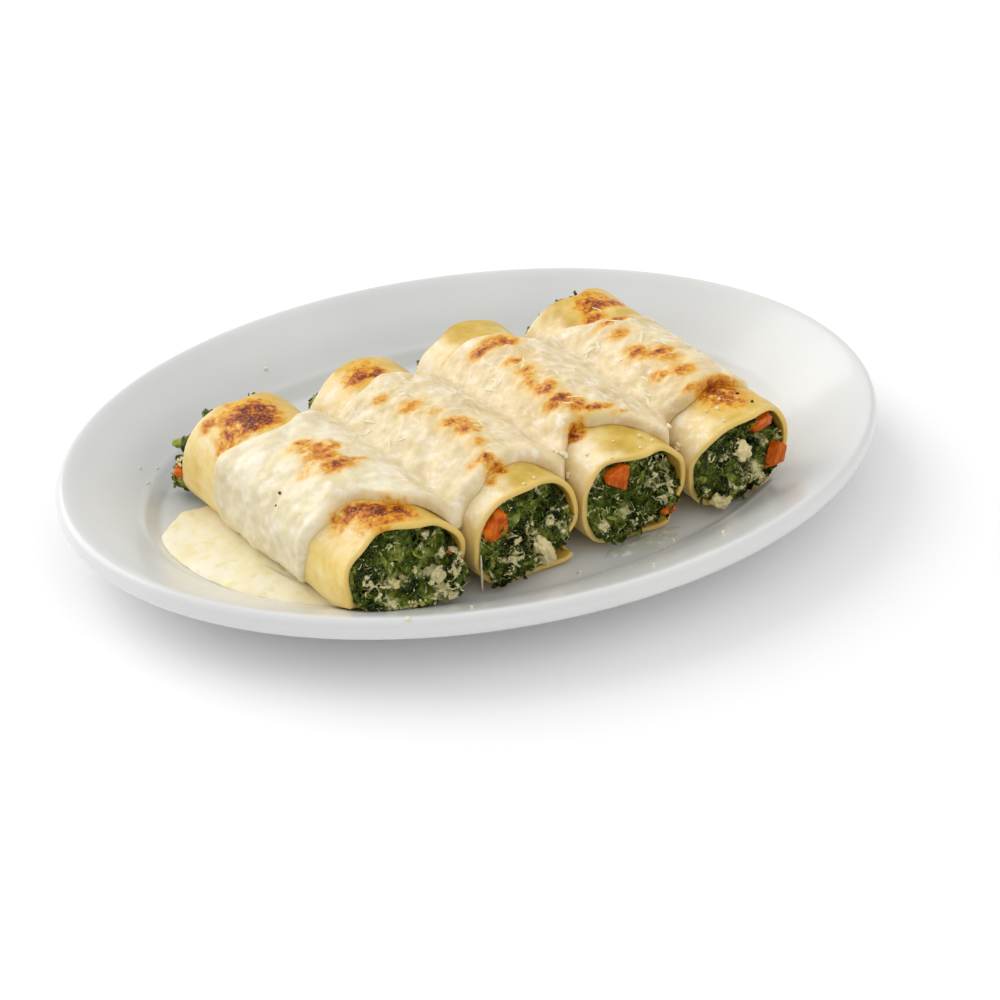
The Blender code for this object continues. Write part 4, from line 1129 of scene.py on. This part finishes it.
def tube_faces(steps, sides):
    """Quads of a tube with closed ends; sides is 4 or 6."""
    numbers = np.arange(steps * sides).reshape(steps, sides)
    faces = quads(numbers, closed=True)
    first, last = numbers[0].tolist(), numbers[-1].tolist()
    if sides == 4:
        return faces + [first, last[::-1]]
    return faces + [first[:4], [first[0], *first[3:]], last[3::-1], [*last[:2:-1], last[0]]]


def strands(paths, upward, width, thick, sides):
    """Threads along paths (strand, step, xyz), flattened and thinned to their ends."""
    steps = paths.shape[1]
    forward = unit(np.gradient(paths, axis=1))
    side = unit(np.cross(forward, upward))
    above = np.cross(side, forward)
    turn = round_turn(sides)
    taper = np.sqrt(1 - (0.92 * np.linspace(-1, 1, steps)) ** 2)[None, :, None, None]
    ring = (
        side[:, :, None] * (np.cos(turn) * width[:, None, None] / 2)[..., None]
        + above[:, :, None] * (np.sin(turn) * thick[:, None, None] / 2)[..., None]
    )
    body = paths[:, :, None] + ring * taper
    return body.reshape(len(paths), -1, 3), tube_faces(steps, sides)


def long_threads(all_ends):
    """The longer threads, each led smoothly through its places on a roll's front end."""
    bodies = []
    for number, width, places in LONG_THREADS:
        found = [spot_at(all_ends[number][FRONT], *place) for place in places]
        spots = np.array([spot + out * 0.9 for spot, out in found])
        kept = np.linspace(0, len(spots) - 1, THREAD_STEPS)
        path = np.stack([np.interp(kept, range(len(spots)), spots[:, k]) for k in range(3)], axis=-1)
        path[1:-1] = (path[:-2] + 2 * path[1:-1] + path[2:]) / 4
        upward = np.broadcast_to(np.mean([out for _, out in found], axis=0), path.shape)
        bodies.append(strands(path[None], upward[None], np.array([width]), np.array([width * 0.8]), 4)[0])
    return bodies


def strew_threads(all_ends, finish):
    """Pale leaf stalks and threads of melted curd that wind through the spinach."""
    bodies = []
    for ends in all_ends:
        for direction, count in THREADS.items():
            place, out = spots_on(ends[direction], count)
            axes = random_frames(count, out, 0.45)
            s = np.linspace(-0.5, 0.5, THREAD_STEPS)[None, :]
            length = CHANCE.uniform(*THREAD_LENGTH, (count, 1))
            bend = CHANCE.uniform(-0.4, 0.4, (count, 1))
            x = s * length
            wiggle = 0.35 * random_wave(x, 0.8, 2.2)
            local = np.stack([x, bend * x**2 + wiggle, -0.07 * x**2], axis=-1)
            paths = (place + out * CHANCE.uniform(0.2, 0.8, (count, 1)))[:, None] + local @ axes
            upward = np.repeat(out[:, None], THREAD_STEPS, axis=1)
            width = CHANCE.uniform(*THREAD_WIDTH, count)
            bodies.append(strands(kept_inside(ends[direction], paths), upward, width, width * 0.7, 4)[0])
    bodies += long_threads(all_ends)
    return make_piece(
        "stalks_and_threads", joined(np.concatenate(bodies), tube_faces(THREAD_STEPS, 4)), finish, "ricotta")


def crumbs(place, out, size, squareness, roughness, cuts=2):
    """Small uneven crumbs at the given places, each its own size and turn."""
    cube, faces = ball(cuts)
    count = len(place)
    shape = worn_block(cube, squareness)
    axes = random_frames(count, out, 1.2)
    stretch = CHANCE.uniform(0.65, 1.25, (count, 1, 3))
    local = shape * stretch * size[:, None, None] / 2
    seeds = CHANCE.uniform(0, 400, (count, 1, 3))
    local *= 1 + roughness * noise(shape * 1.4 + seeds, 1.0)[..., None]
    if cuts > 4:
        local *= 1 + 0.5 * roughness * noise(shape * 3.4 + seeds, 1.0)[..., None]
    return place[:, None] + local @ axes, faces


def strew_ricotta(all_ends, finish):
    """Crumbs of ricotta mixed into the spinach, thickest where its curd has gathered."""
    bodies = []
    for ends in all_ends:
        roll = ends[FRONT][0]
        for direction, count in CRUMBS.items():
            place, facing = spots_on(ends[direction], count * 4)
            best = np.argsort(-curd_on(roll, place, direction) - CHANCE.uniform(0, 0.6, len(place)))[:count]
            size = CHANCE.uniform(0.5, 1.1, count) ** 2 * 1.2
            bodies.append(crumbs(place[best] + facing[best] * 0.5, facing[best], size, 2.4, 0.6)[0])
        for number, x, height, reach, strength in CURD_PATCHES:
            if number == roll.index:
                count = int(6 * reach * strength)
                place, facing = spots_on(ends[FRONT], count, (x, height, reach * 0.5))
                size = CHANCE.uniform(0.6, 1.5, count)
                bodies.append(crumbs(place + facing * 0.5, facing, size, 2.4, 0.6)[0])
    return make_piece("ricotta_crumbs", joined(np.concatenate(bodies), ball(2)[1]), finish, "ricotta")


def place_bits(name, given, all_ends, squareness, finish, slot):
    """Bits a few millimetres long, each at its own place on a filling's end."""
    found = [spot_at(all_ends[number][direction], x, height) for number, direction, x, height, _ in given]
    place, facing = (np.array(values) for values in zip(*found))
    size = np.array([size for *_, size in given], float)
    body, faces = crumbs(place + facing * (0.28 * size)[:, None], facing, size, squareness, 0.55, 6)
    return make_piece(name, joined(body, faces), finish, slot)


def set_in_end(shape, roll, given):
    """A lump's points at its size and place in a roll's front: its own axes lie across the roll,
    along it and up, and are then turned."""
    middle = roll.front + roll.across * given["across"] - roll.along * given["proud"]
    facing = Matrix.Rotation(math.atan2(roll.across[1], roll.across[0]), 3, "Z")
    turn = Euler([math.radians(a) for a in given["turn"]]).to_matrix()
    local = (shape * np.array(given["size"]) / 2) @ np.array(facing @ turn).T
    return np.append(middle, given["height"]) + local


def knife_cut(cube, cuts, edge):
    """A cube's points drawn in to a body with flat faces that meet in edges worn round; cuts are
    (direction, distance of that face) and a smaller edge is sharper."""
    toward = unit(cube)
    near = np.full(len(toward), 0.0)
    for face, distance in cuts:
        lean = np.maximum(toward @ unit(np.array(face, float)), 0.02)
        near += np.exp(-distance / lean / edge)
    return toward * (-edge * np.log(near))[:, None]


def carrot_cuts():
    """The six faces of a die, none quite square, and two corners lost to the knife."""
    faces = np.concatenate([np.eye(3), -np.eye(3)]) + CHANCE.normal(size=(6, 3)) * 0.13
    corners = np.sign(CHANCE.normal(size=(2, 3))) * CHANCE.uniform(0.4, 1.0, (2, 3))
    return [(face, 1.0) for face in faces] + [(corner, 1.25) for corner in corners]


def build_carrot(number, given, rolls, finish):
    """A die of carrot: knife-flat sides with edges that cooking has worn round."""
    cube, faces = ball(13)
    cuts = carrot_cuts()
    if given["trimmed"]:
        cuts.append(HIDDEN_CORNER)
    shape = knife_cut(cube, cuts, 0.05)
    shape *= 1 + 0.03 * noise(shape, 0.9, number)[:, None] + 0.02 * noise(shape, 0.3, number + 4)[:, None]
    points = set_in_end(shape, rolls[given["roll"]], given)
    return make_piece(f"carrot_die_{number}", (points, faces), finish, "carrot", (f"carrot_{number}",))


def build_ricotta(number, given, rolls, finish):
    """A lump of ricotta: soft curds stuck together."""
    cube, faces = ball(17)
    shape = worn_block(cube, 2.6)
    curds = puffs(shape, 0.55, number) * 0.20
    curds = curds + noise(shape, 0.9, number + 20) * 0.22 + noise(shape, 0.22, number) * 0.05
    shape *= (0.93 + curds)[:, None]
    points = set_in_end(shape, rolls[given["roll"]], given)
    return make_piece(f"ricotta_lump_{number}", (points, faces), finish, "ricotta", (f"ricotta_{number}",))


# ------------------------------------------------------------------------------------------ sauce


def span_valley(near, far, share, distance, grow, outer):
    """Points of the blanket between two rolls' crests, over both rolls and the valley that the sauce
    fills between them; its outer surface blends from one to the next."""
    start, end = near.axis(distance / near.length), far.axis(distance / far.length)
    plan = start + (end - start) * share
    span = np.linalg.norm(end - start, axis=-1)
    part = distance / near.length
    heights = [near.middle_height(part) + near.half_height(part) * (VALLEY_TOP if outer else VALLEY_BOTTOM)]
    for roll, off in ((near, share * span), (far, (1 - share) * span)):
        part = distance / roll.length
        level = np.maximum(0.0, 1 - (off / (roll.half_width(part) + grow)) ** 2)
        heights.append(roll.middle_height(part) + (roll.half_height(part) + grow) * np.sqrt(level))
    height = np.max(heights, axis=0)
    if outer:
        total = sum(np.exp((h - height) / BLANKET_SOFTNESS) for h in heights)
        height = height + BLANKET_SOFTNESS * np.log(total) * (1 - abs(2 * share - 1) ** 4)
    return np.concatenate([plan, height[:, None]], axis=-1)


def drape(rolls, station, distance, outer):
    """Points of the blanket's outer or inner surface along one station.  Stations run from 0 at the
    foot of the first roll's left side, over the crests at 1 to 4, to 5 on the last roll's right."""
    grow = BLANKET_CLEARANCE + BLANKET_THICKNESS if outer else 0.05
    crest = math.pi / 2
    if station <= 1:
        roll, angle = rolls[0], BLANKET_LEFT_ANGLE + (crest - BLANKET_LEFT_ANGLE) * station
        points = roll.point(distance / roll.length, angle, grow)
        points[:, 2] = np.maximum(points[:, 2], POOL_LEVEL + 0.2)
        return points
    if station >= 4:
        roll, line = rolls[-1], np.stack([distance, 0 * distance, 0 * distance + 70], axis=-1)
        lowest = BLANKET_RIGHT_ANGLE + RIGHT_HEM * noise(line, 13) + 0.3 * RIGHT_HEM * noise(line, 4)
        return roll.point(distance / roll.length, crest + (lowest - crest) * (station - 4), grow)
    left = min(int(station), 3) - 1
    return span_valley(rolls[left], rolls[left + 1], station - 1 - left, distance, grow, outer)


def shred_paths():
    """Plans of the grated cheese that fell on the sauce: short curved strands, mostly lying the way
    a grater drops them."""
    paths = []
    for x, y, spread, count in SHRED_ZONES:
        start = CHANCE.normal(size=(count, 1, 2)) * spread * 0.75 + (x, y)
        heading = CHANCE.normal(SHRED_HEADING, 0.8, (count, 1))
        length = CHANCE.uniform(*SHRED_LENGTH, (count, 1))
        bend = CHANCE.normal(0, 0.09, (count, 1))
        s = np.linspace(-0.5, 0.5, SHRED_STEPS) * length
        turned = heading + bend * s + 0.35 * np.sin(s * CHANCE.uniform(0.5, 1.4, (count, 1)) + start[..., 0])
        step = np.stack([np.cos(turned), np.sin(turned)], axis=-1) * length[..., None] / (SHRED_STEPS - 1)
        paths.append(start + np.cumsum(step, axis=1) - step.sum(axis=1, keepdims=True) / 2)
    return np.concatenate(paths)


def melted_ridges(plan, paths):
    """The height that strands sunk in the sauce still give its surface."""
    height = np.zeros(plan.shape[:-1])
    sizes = zip(CHANCE.uniform(0.4, 0.75, len(paths)), CHANCE.uniform(0.25, 0.95, len(paths)))
    for path, (radius, rise) in zip(paths, sizes):
        low, high = path.min(axis=0) - 3, path.max(axis=0) + 3
        near = np.all((plan > low) & (plan < high), axis=-1)
        spot = plan[near]
        best = np.full(len(spot), 9.0)
        for start, end in zip(path, path[1:]):
            along = end - start
            share = np.clip((spot - start) @ along / (along @ along), 0, 1)
            best = np.minimum(best, np.linalg.norm(spot - start - share[:, None] * along, axis=-1))
        height[near] += rise * np.exp(-((best / radius) ** 2))
    return np.minimum(height, 1.4)


def blanket_surfaces(rolls, stations, rows):
    """The blanket's outer surface where it is full, its inner one, and how far each point lies from
    the nearer of its front and rear edges."""
    top, under, to_edge = [], [], []
    for station in stations:
        ends = [through_points(edge, station) for edge in (FRONT_EDGE, REAR_EDGE)]
        way = station * STATION_STEP
        ends[0] += 0.7 * noise((way, 0, 3), 6.0) + 0.3 * noise((way, 0, 9), 2.2)
        ends[1] += 1.3 * noise((way, 50, 3), 7.0)
        distance = ends[0] + (ends[1] - ends[0]) * rows
        top.append(drape(rolls, station, distance, True))
        under.append(drape(rolls, station, distance, False))
        to_edge.append(np.minimum(distance - ends[0], ends[1] - distance))
    return np.array(top), np.array(under), np.array(to_edge)


def fullness(stations, to_edge, to_side):
    """The share of its thickness that the sauce has: less at its lips and down both outer sides."""
    lips = LIP_SHARE + (1 - LIP_SHARE) * quarter_round(to_edge / LIP_LENGTH)
    hems = 0.12 + 0.88 * quarter_round(to_side / 7)
    sides = 1 - THINNER_ON_LEFT * smooth_step(0.62, 0.3, stations)
    sides = sides * (1 - THINNER_ON_RIGHT * smooth_step(4.0, 4.4, stations))
    return lips * hems * sides[:, None]


def sauce_folds(body, stations):
    """How far the sauce's folds and clots stand out, finer where shreds have melted into it."""
    shredded = smooth_step(1.35, 1.9, stations)[:, None]
    return (
        1.2 * noise(body * (1.0, 0.6, 1.0), 17, 1) + 0.95 * noise(body, 7, 2)
        + (0.50 - 0.10 * shredded) * noise(body, 3.4, 3)
        + 0.22 * shredded * (puffs(body, 4.0, 4) - 0.4) + 0.07 * noise(body, 1.3, 5)
    )


def build_blanket(rolls, paths, finish):
    """Thick sauce over the middle of all four rolls, with soft folds and rounded lips."""
    stations = np.linspace(0, 5, BLANKET_STATIONS)
    rows = gathered(np.linspace(0, 1, BLANKET_ROWS), 0.35)
    top, under, to_edge = blanket_surfaces(rolls, stations, rows)
    to_side = np.minimum(stations + 0.2, 5 - stations)[:, None] * 40.0
    body = under + (top - under) * fullness(stations, to_edge, to_side)[..., None]
    out = normals_of(body)
    bead = 0.35 * np.exp(-(((to_edge - 1.8) / 1.4) ** 2)) * smooth_step(0, 6, to_side)
    ridges = melted_ridges(body[..., :2], paths) * smooth_step(26, 34, body[..., 2])
    calm = 0.25 + 0.75 * smooth_step(0.0, 5.0, to_edge)
    firm = 1 - 0.5 * smooth_step(4.1, 4.5, stations)[:, None]
    relief = (sauce_folds(body, stations) + 0.3 * ridges) * calm * firm * smooth_step(0, 9, to_side)
    shape = sheet(body + out * (bead + relief)[..., None], under[:, ::4], 0.7)
    ripe = smooth_step(1.0, 2.2, stations) + 0.5 * smooth_step(3.0, 4.2, stations)
    ripe = np.broadcast_to(ripe[:, None], to_edge.shape)
    return make_piece(
        "sauce_blanket", shape, finish, "bechamel", ("bechamel",), browned=browned_at(shape[0]),
        ripe=round_sheet(ripe), strand=round_sheet(0.6 * ridges))


def round_sheet(values):
    """Values given over a sheet's top, carried round its edges and under it, every fourth column."""
    rear, front = (np.repeat(values[:, k:k + 1], EDGE_STEPS, axis=1) for k in (values.shape[1] - 1, 0))
    return np.concatenate([values, rear, values[:, ::4][:, ::-1], front], axis=1)


def pool_outline(roll, count):
    """Evenly spaced plan points round the pool: along the wall of the well, then back along the
    foot of the first roll, with the corners drawn round and the edge left a little uneven."""
    turns = np.linspace(*POOL_TURN, 90)
    inset = POOL_INSET + 7 * smooth_step(math.radians(179), POOL_TURN[0], turns)
    wall = np.stack(outline(inset, turns), axis=-1)
    foot = roll.axis(np.linspace(*POOL_ALONG_ROLL, 80)) - roll.across * POOL_UNDER_ROLL
    share = np.linspace(0, 1, 40)[1:-1, None]
    back = foot[-1] + (wall[0] - foot[-1]) * share
    back = back + roll.along * POOL_REAR_BULGE * np.sin(math.pi * share)
    rough = np.concatenate([wall, foot, back])
    gap = np.linalg.norm(np.diff(rough, axis=0, append=rough[:1]), axis=-1)
    reach = np.concatenate([[0], np.cumsum(gap)])
    wanted = np.linspace(0, reach[-1], count, endpoint=False)
    closed = np.concatenate([rough, rough[:1]])
    line = np.stack([np.interp(wanted, reach, closed[:, k]) for k in (0, 1)], axis=-1)
    for _ in range(18):
        line = (np.roll(line, 1, axis=0) + line * 2 + np.roll(line, -1, axis=0)) / 4
    middle = line.mean(axis=0)
    spot = np.concatenate([line, np.zeros((count, 1))], axis=-1)
    return middle, line + unit(line - middle) * layered(spot, (1.0, 9, 8), (0.4, 3, 9))[:, None]


def puddle(middle, line, level, film, crown, seed, rings):
    """A closed puddle on the plate, out to a line round its middle: a round edge and a faintly rippled
    top, at a level with a crown in the middle but never thinner than film."""
    reach = np.concatenate([np.linspace(0.04, 0.8, rings), 1 - np.geomspace(0.19, 0.0005, 18)])
    top = middle + (line - middle) * reach[:, None, None]
    floor = plate_height(top)
    to_edge = np.linalg.norm(line - middle, axis=-1)[None, :] * (1 - reach[:, None])
    spot = np.concatenate([top, floor[..., None]], axis=-1)
    ripple = layered(spot, (0.30, 10, seed), (0.14, 3.6, seed + 1), (0.04, 1.4, seed + 2))
    full = np.maximum(level + crown * (1 - reach[:, None] ** 2), floor + film)
    full = full + ripple * smooth_step(0, 3, to_edge)
    high = floor + 0.05 + (full - floor) * (0.08 + 0.92 * quarter_round(to_edge / (4.5 * film)))
    upper = np.concatenate([top, high[..., None]], axis=-1)
    lower = np.concatenate([top, floor[..., None] + 0.03], axis=-1)[::-4]
    return loft(np.concatenate([upper, lower]))


def build_pool(rolls, finish):
    """The sauce that has run into the well beside the first roll."""
    middle, line = pool_outline(rolls[0], POOL_SPOKES)
    shape = puddle(middle, line, POOL_LEVEL, POOL_FILM, POOL_CROWN, 12, POOL_RINGS)
    return make_piece("sauce_pool_poured", shape, finish, "bechamel", ("sauce_pool",))


def build_smear(finish):
    """Thin sauce and cooking liquid that have seeped out in front of the middle rolls; its grey is partly
    painted shade and reflection of the plate there.
    """
    turn = round_turn(SMEAR_SPOKES)
    points, faces = [], []
    for x, y, length, width, lean, seed in SMEARS:
        away = np.stack([np.cos(turn) * length, np.sin(turn) * width, np.zeros(len(turn))], axis=-1)
        away *= (1 + 0.45 * noise(away, 6, seed) + 0.2 * noise(away, 2.4, seed))[:, None]
        plan = np.stack([
            away[:, 0] * math.cos(lean) - away[:, 1] * math.sin(lean),
            away[:, 0] * math.sin(lean) + away[:, 1] * math.cos(lean)], axis=-1)
        middle = np.array((x, y), float)
        body, around = puddle(middle, middle + plan, 0.0, SMEAR_FILM, 0.0, seed, SMEAR_RINGS)
        start = sum(len(earlier) for earlier in points)
        faces += [tuple(k + start for k in face) for face in around]
        points.append(body)
    return make_piece("sauce_smears", (np.concatenate(points), faces), finish, "bechamel")


# ----------------------------------------------------------------------------------- loose cheese


def resting_places(pieces):
    """What loose bits can land on, for rays in mm."""
    points, faces = [], []
    for piece in pieces:
        mesh, start = piece.data, len(points)
        places = np.zeros(len(mesh.vertices) * 3, np.float32)
        mesh.vertices.foreach_get("co", places)
        points += (places.reshape(-1, 3) / MM).tolist()
        faces += [tuple(k + start for k in face.vertices) for face in mesh.polygons]
    return BVHTree.FromPolygons(points, faces)


def land(ground, plan):
    """Where each plan point dropped from above comes to rest, and the surface's normal there."""
    hits = [ground.ray_cast(Vector((x, y, 90.0)), Vector((0, 0, -1))) for x, y in plan.reshape(-1, 2)]
    place = np.array([hit[0] for hit in hits]).reshape(*plan.shape[:-1], 3)
    return place, np.array([hit[1] for hit in hits]).reshape(*plan.shape[:-1], 3)


def lay_shreds(ground, paths, finish):
    """The strands that haven't melted in, half sunk in the sauce, and those that hang in front."""
    place, facing = land(ground, paths)
    smooth = place.copy()
    for _ in range(2):
        smooth[:, 1:-1] = (smooth[:, :-2] + smooth[:, 1:-1] * 2 + smooth[:, 2:]) / 4
    flat = np.ptp(place[..., 2], axis=1) < LEVEL_SHRED
    smooth, facing = smooth[flat], facing[flat]
    count = len(smooth)
    width = CHANCE.uniform(*SHRED_WIDTH, count)
    lift = CHANCE.uniform(-0.32, -0.04, (count, 1, 1))
    body, faces = strands(smooth + facing * lift, facing, width, width * 0.7, 6)
    s = np.linspace(0, 1, SHRED_STEPS)[:, None]
    hanging = np.array([
        np.array(start) * (1 - s) + np.array(end) * s + np.array(sag) * (s * (1 - s) * 4)
        for start, end, sag, _ in HANGING_SHREDS
    ])
    width = np.array([given[3] for given in HANGING_SHREDS])
    outward = np.broadcast_to((0.0, -1.0, 0.0), hanging.shape)
    hung, _ = strands(hanging, outward, width, width * 0.65, 6)
    return make_piece("cheese_shreds", joined(np.concatenate([body, hung]), faces), finish, "bechamel")


def drop_crumbs(ground, finish):
    """Crumbs of grated cheese, on the pasta's fronts, along the sauce's edge and on the plate."""
    given = np.array(CRUMBS_ON_PASTA + CRUMBS_ON_PLATE + CRUMBS_AT_EDGES * 2)
    given = given + CHANCE.normal(size=given.shape) * 0.35
    place, facing = land(ground, given)
    size = CHANCE.uniform(*CRUMB_SIZE, len(given))
    size[-2 * len(CRUMBS_AT_EDGES):] *= EDGE_CRUMBS_LARGER
    body, faces = crumbs(place + facing * (size * 0.3)[:, None], facing, size, 2.6, 0.4)
    return make_piece("cheese_crumbs", joined(body, faces), finish, "bechamel")


def drop_flecks(ground, finish):
    """Flecks of dried herb, two on the last roll and two in the sauce on the first."""
    place, facing = land(ground, np.array(HERB_FLECKS))
    points, faces = joined(*crumbs(place + facing * 0.1, facing, np.array(FLECK_SIZES), 2.4, 0.5))
    return make_piece(
        "herb_flecks", (points, faces), finish, "filling",
        tone=np.full(len(points), 0.2), curd=np.zeros(len(points)))


# ------------------------------------------------------------------------------- camera and light


def set_camera():
    """A long lens that looks at the plate from in front on the left, half from above."""
    level = math.cos(ELEVATION)
    back = Vector((math.sin(AZIMUTH) * level, -math.cos(AZIMUTH) * level, math.sin(ELEVATION)))
    right = Vector((math.cos(AZIMUTH), math.sin(AZIMUTH), 0.0))
    up = back.cross(right)
    lens = bpy.data.cameras.new("camera")
    lens.lens, lens.sensor_width = LENS, SENSOR
    lens.clip_start, lens.clip_end = NEAREST, FARTHEST
    camera = add_object("camera", lens)
    camera.matrix_world = (
        Matrix.Translation(back * DISTANCE + right * MOVED_RIGHT - up * MOVED_DOWN)
        @ Matrix((right, up, back)).transposed().to_4x4()
    )
    bpy.context.scene.camera = camera


def set_light():
    """A broad soft window light behind on the left, a softer one overhead, a faint far window on the
    right in front, and a white room that fills the shadows."""
    for name, energy, spread, towards in LIGHTS:
        light = bpy.data.lights.new(name, "SUN")
        light.energy, light.angle = energy, math.radians(spread)
        add_object(name, light).rotation_euler = Vector(towards).to_track_quat("Z", "Y").to_euler()
    room = bpy.data.worlds.new("white room")
    room.use_nodes = True
    glow = room.node_tree.nodes["Background"]
    set_inputs(room.node_tree, glow, {"Color": "#ffffff", "Strength": ROOM_STRENGTH})
    bpy.context.scene.world = room
    bpy.context.scene.view_settings.view_transform = "Standard"


def set_floor():
    """A plain pale floor under the plate."""
    corners = [(x * FLOOR_HALF, y * FLOOR_HALF, 0) for x, y in ((-1, -1), (1, -1), (1, 1), (-1, 1))]
    mesh = bpy.data.meshes.new("floor")
    mesh.from_pydata(corners, [], [(0, 1, 2, 3)])
    mesh.materials.append(pale_floor())
    add_object("floor", mesh)


# ------------------------------------------------------------------------------------------- main

porcelain = glazed_porcelain()
pasta = egg_pasta()
sauce = bechamel_sauce("baked bechamel", ("#e2d3a9", "#f2e7cb"), ("#d8be8c", "#ecd8b0"), "#d8ca92", 0.55)
thin_sauce = bechamel_sauce("poured bechamel", ("#f4e8b8", "#fbf2da"), ("#f4e8b8", "#fbf2da"), "#eae0a4", 0.9)
# a thin film whose grey paints the plate's shade and reflection in front of the middle rolls
juices_and_shade = bechamel_sauce("cooking juices", ("#c3c0b0", "#cccabd"), ("#c3c0b0", "#cccabd"), "#c8c5aa", 0.9)
spinach = chopped_spinach("chopped spinach", "raised")
leaf = chopped_spinach("spinach leaf", "tone")
ricotta = curd("ricotta curd", "#f6e9b8", "#dcc57c", 0.8)
stalk = curd("pale leaf stalk", "#ccd0a0", "#98a468", 0.0)
cheese = curd("grated hard cheese", "#f8efd2", "#eedcaa", 0.0)
carrot = cooked_carrot()

rolls = [Roll(k) for k in range(4)]
shreds = shred_paths()
plate = build_plate(porcelain)
sheets = [build_pasta(roll, pasta) for roll in rolls]
ends = [build_filling(roll, spinach) for roll in rolls]
strew_leaves(ends, leaf)
strew_threads(ends, stalk)
strew_ricotta(ends, ricotta)
place_bits("curd_bits", CURD_BITS, ends, 2.4, ricotta, "ricotta")
place_bits("carrot_bits", CARROT_BITS, ends, 3.5, carrot, "carrot")
for number, given in enumerate(CARROTS, 1):
    build_carrot(number, given, rolls, carrot)
for number, given in enumerate(RICOTTA_LUMPS, 1):
    build_ricotta(number, given, rolls, ricotta)
blanket = build_blanket(rolls, shreds, sauce)
pool = build_pool(rolls, thin_sauce)
build_smear(juices_and_shade)
ground = resting_places([plate, *sheets, blanket, pool])
lay_shreds(ground, shreds[::EVERY_SHRED_UNMELTED], cheese)
drop_crumbs(ground, cheese)
drop_flecks(ground, leaf)
set_camera()
set_light()
set_floor()
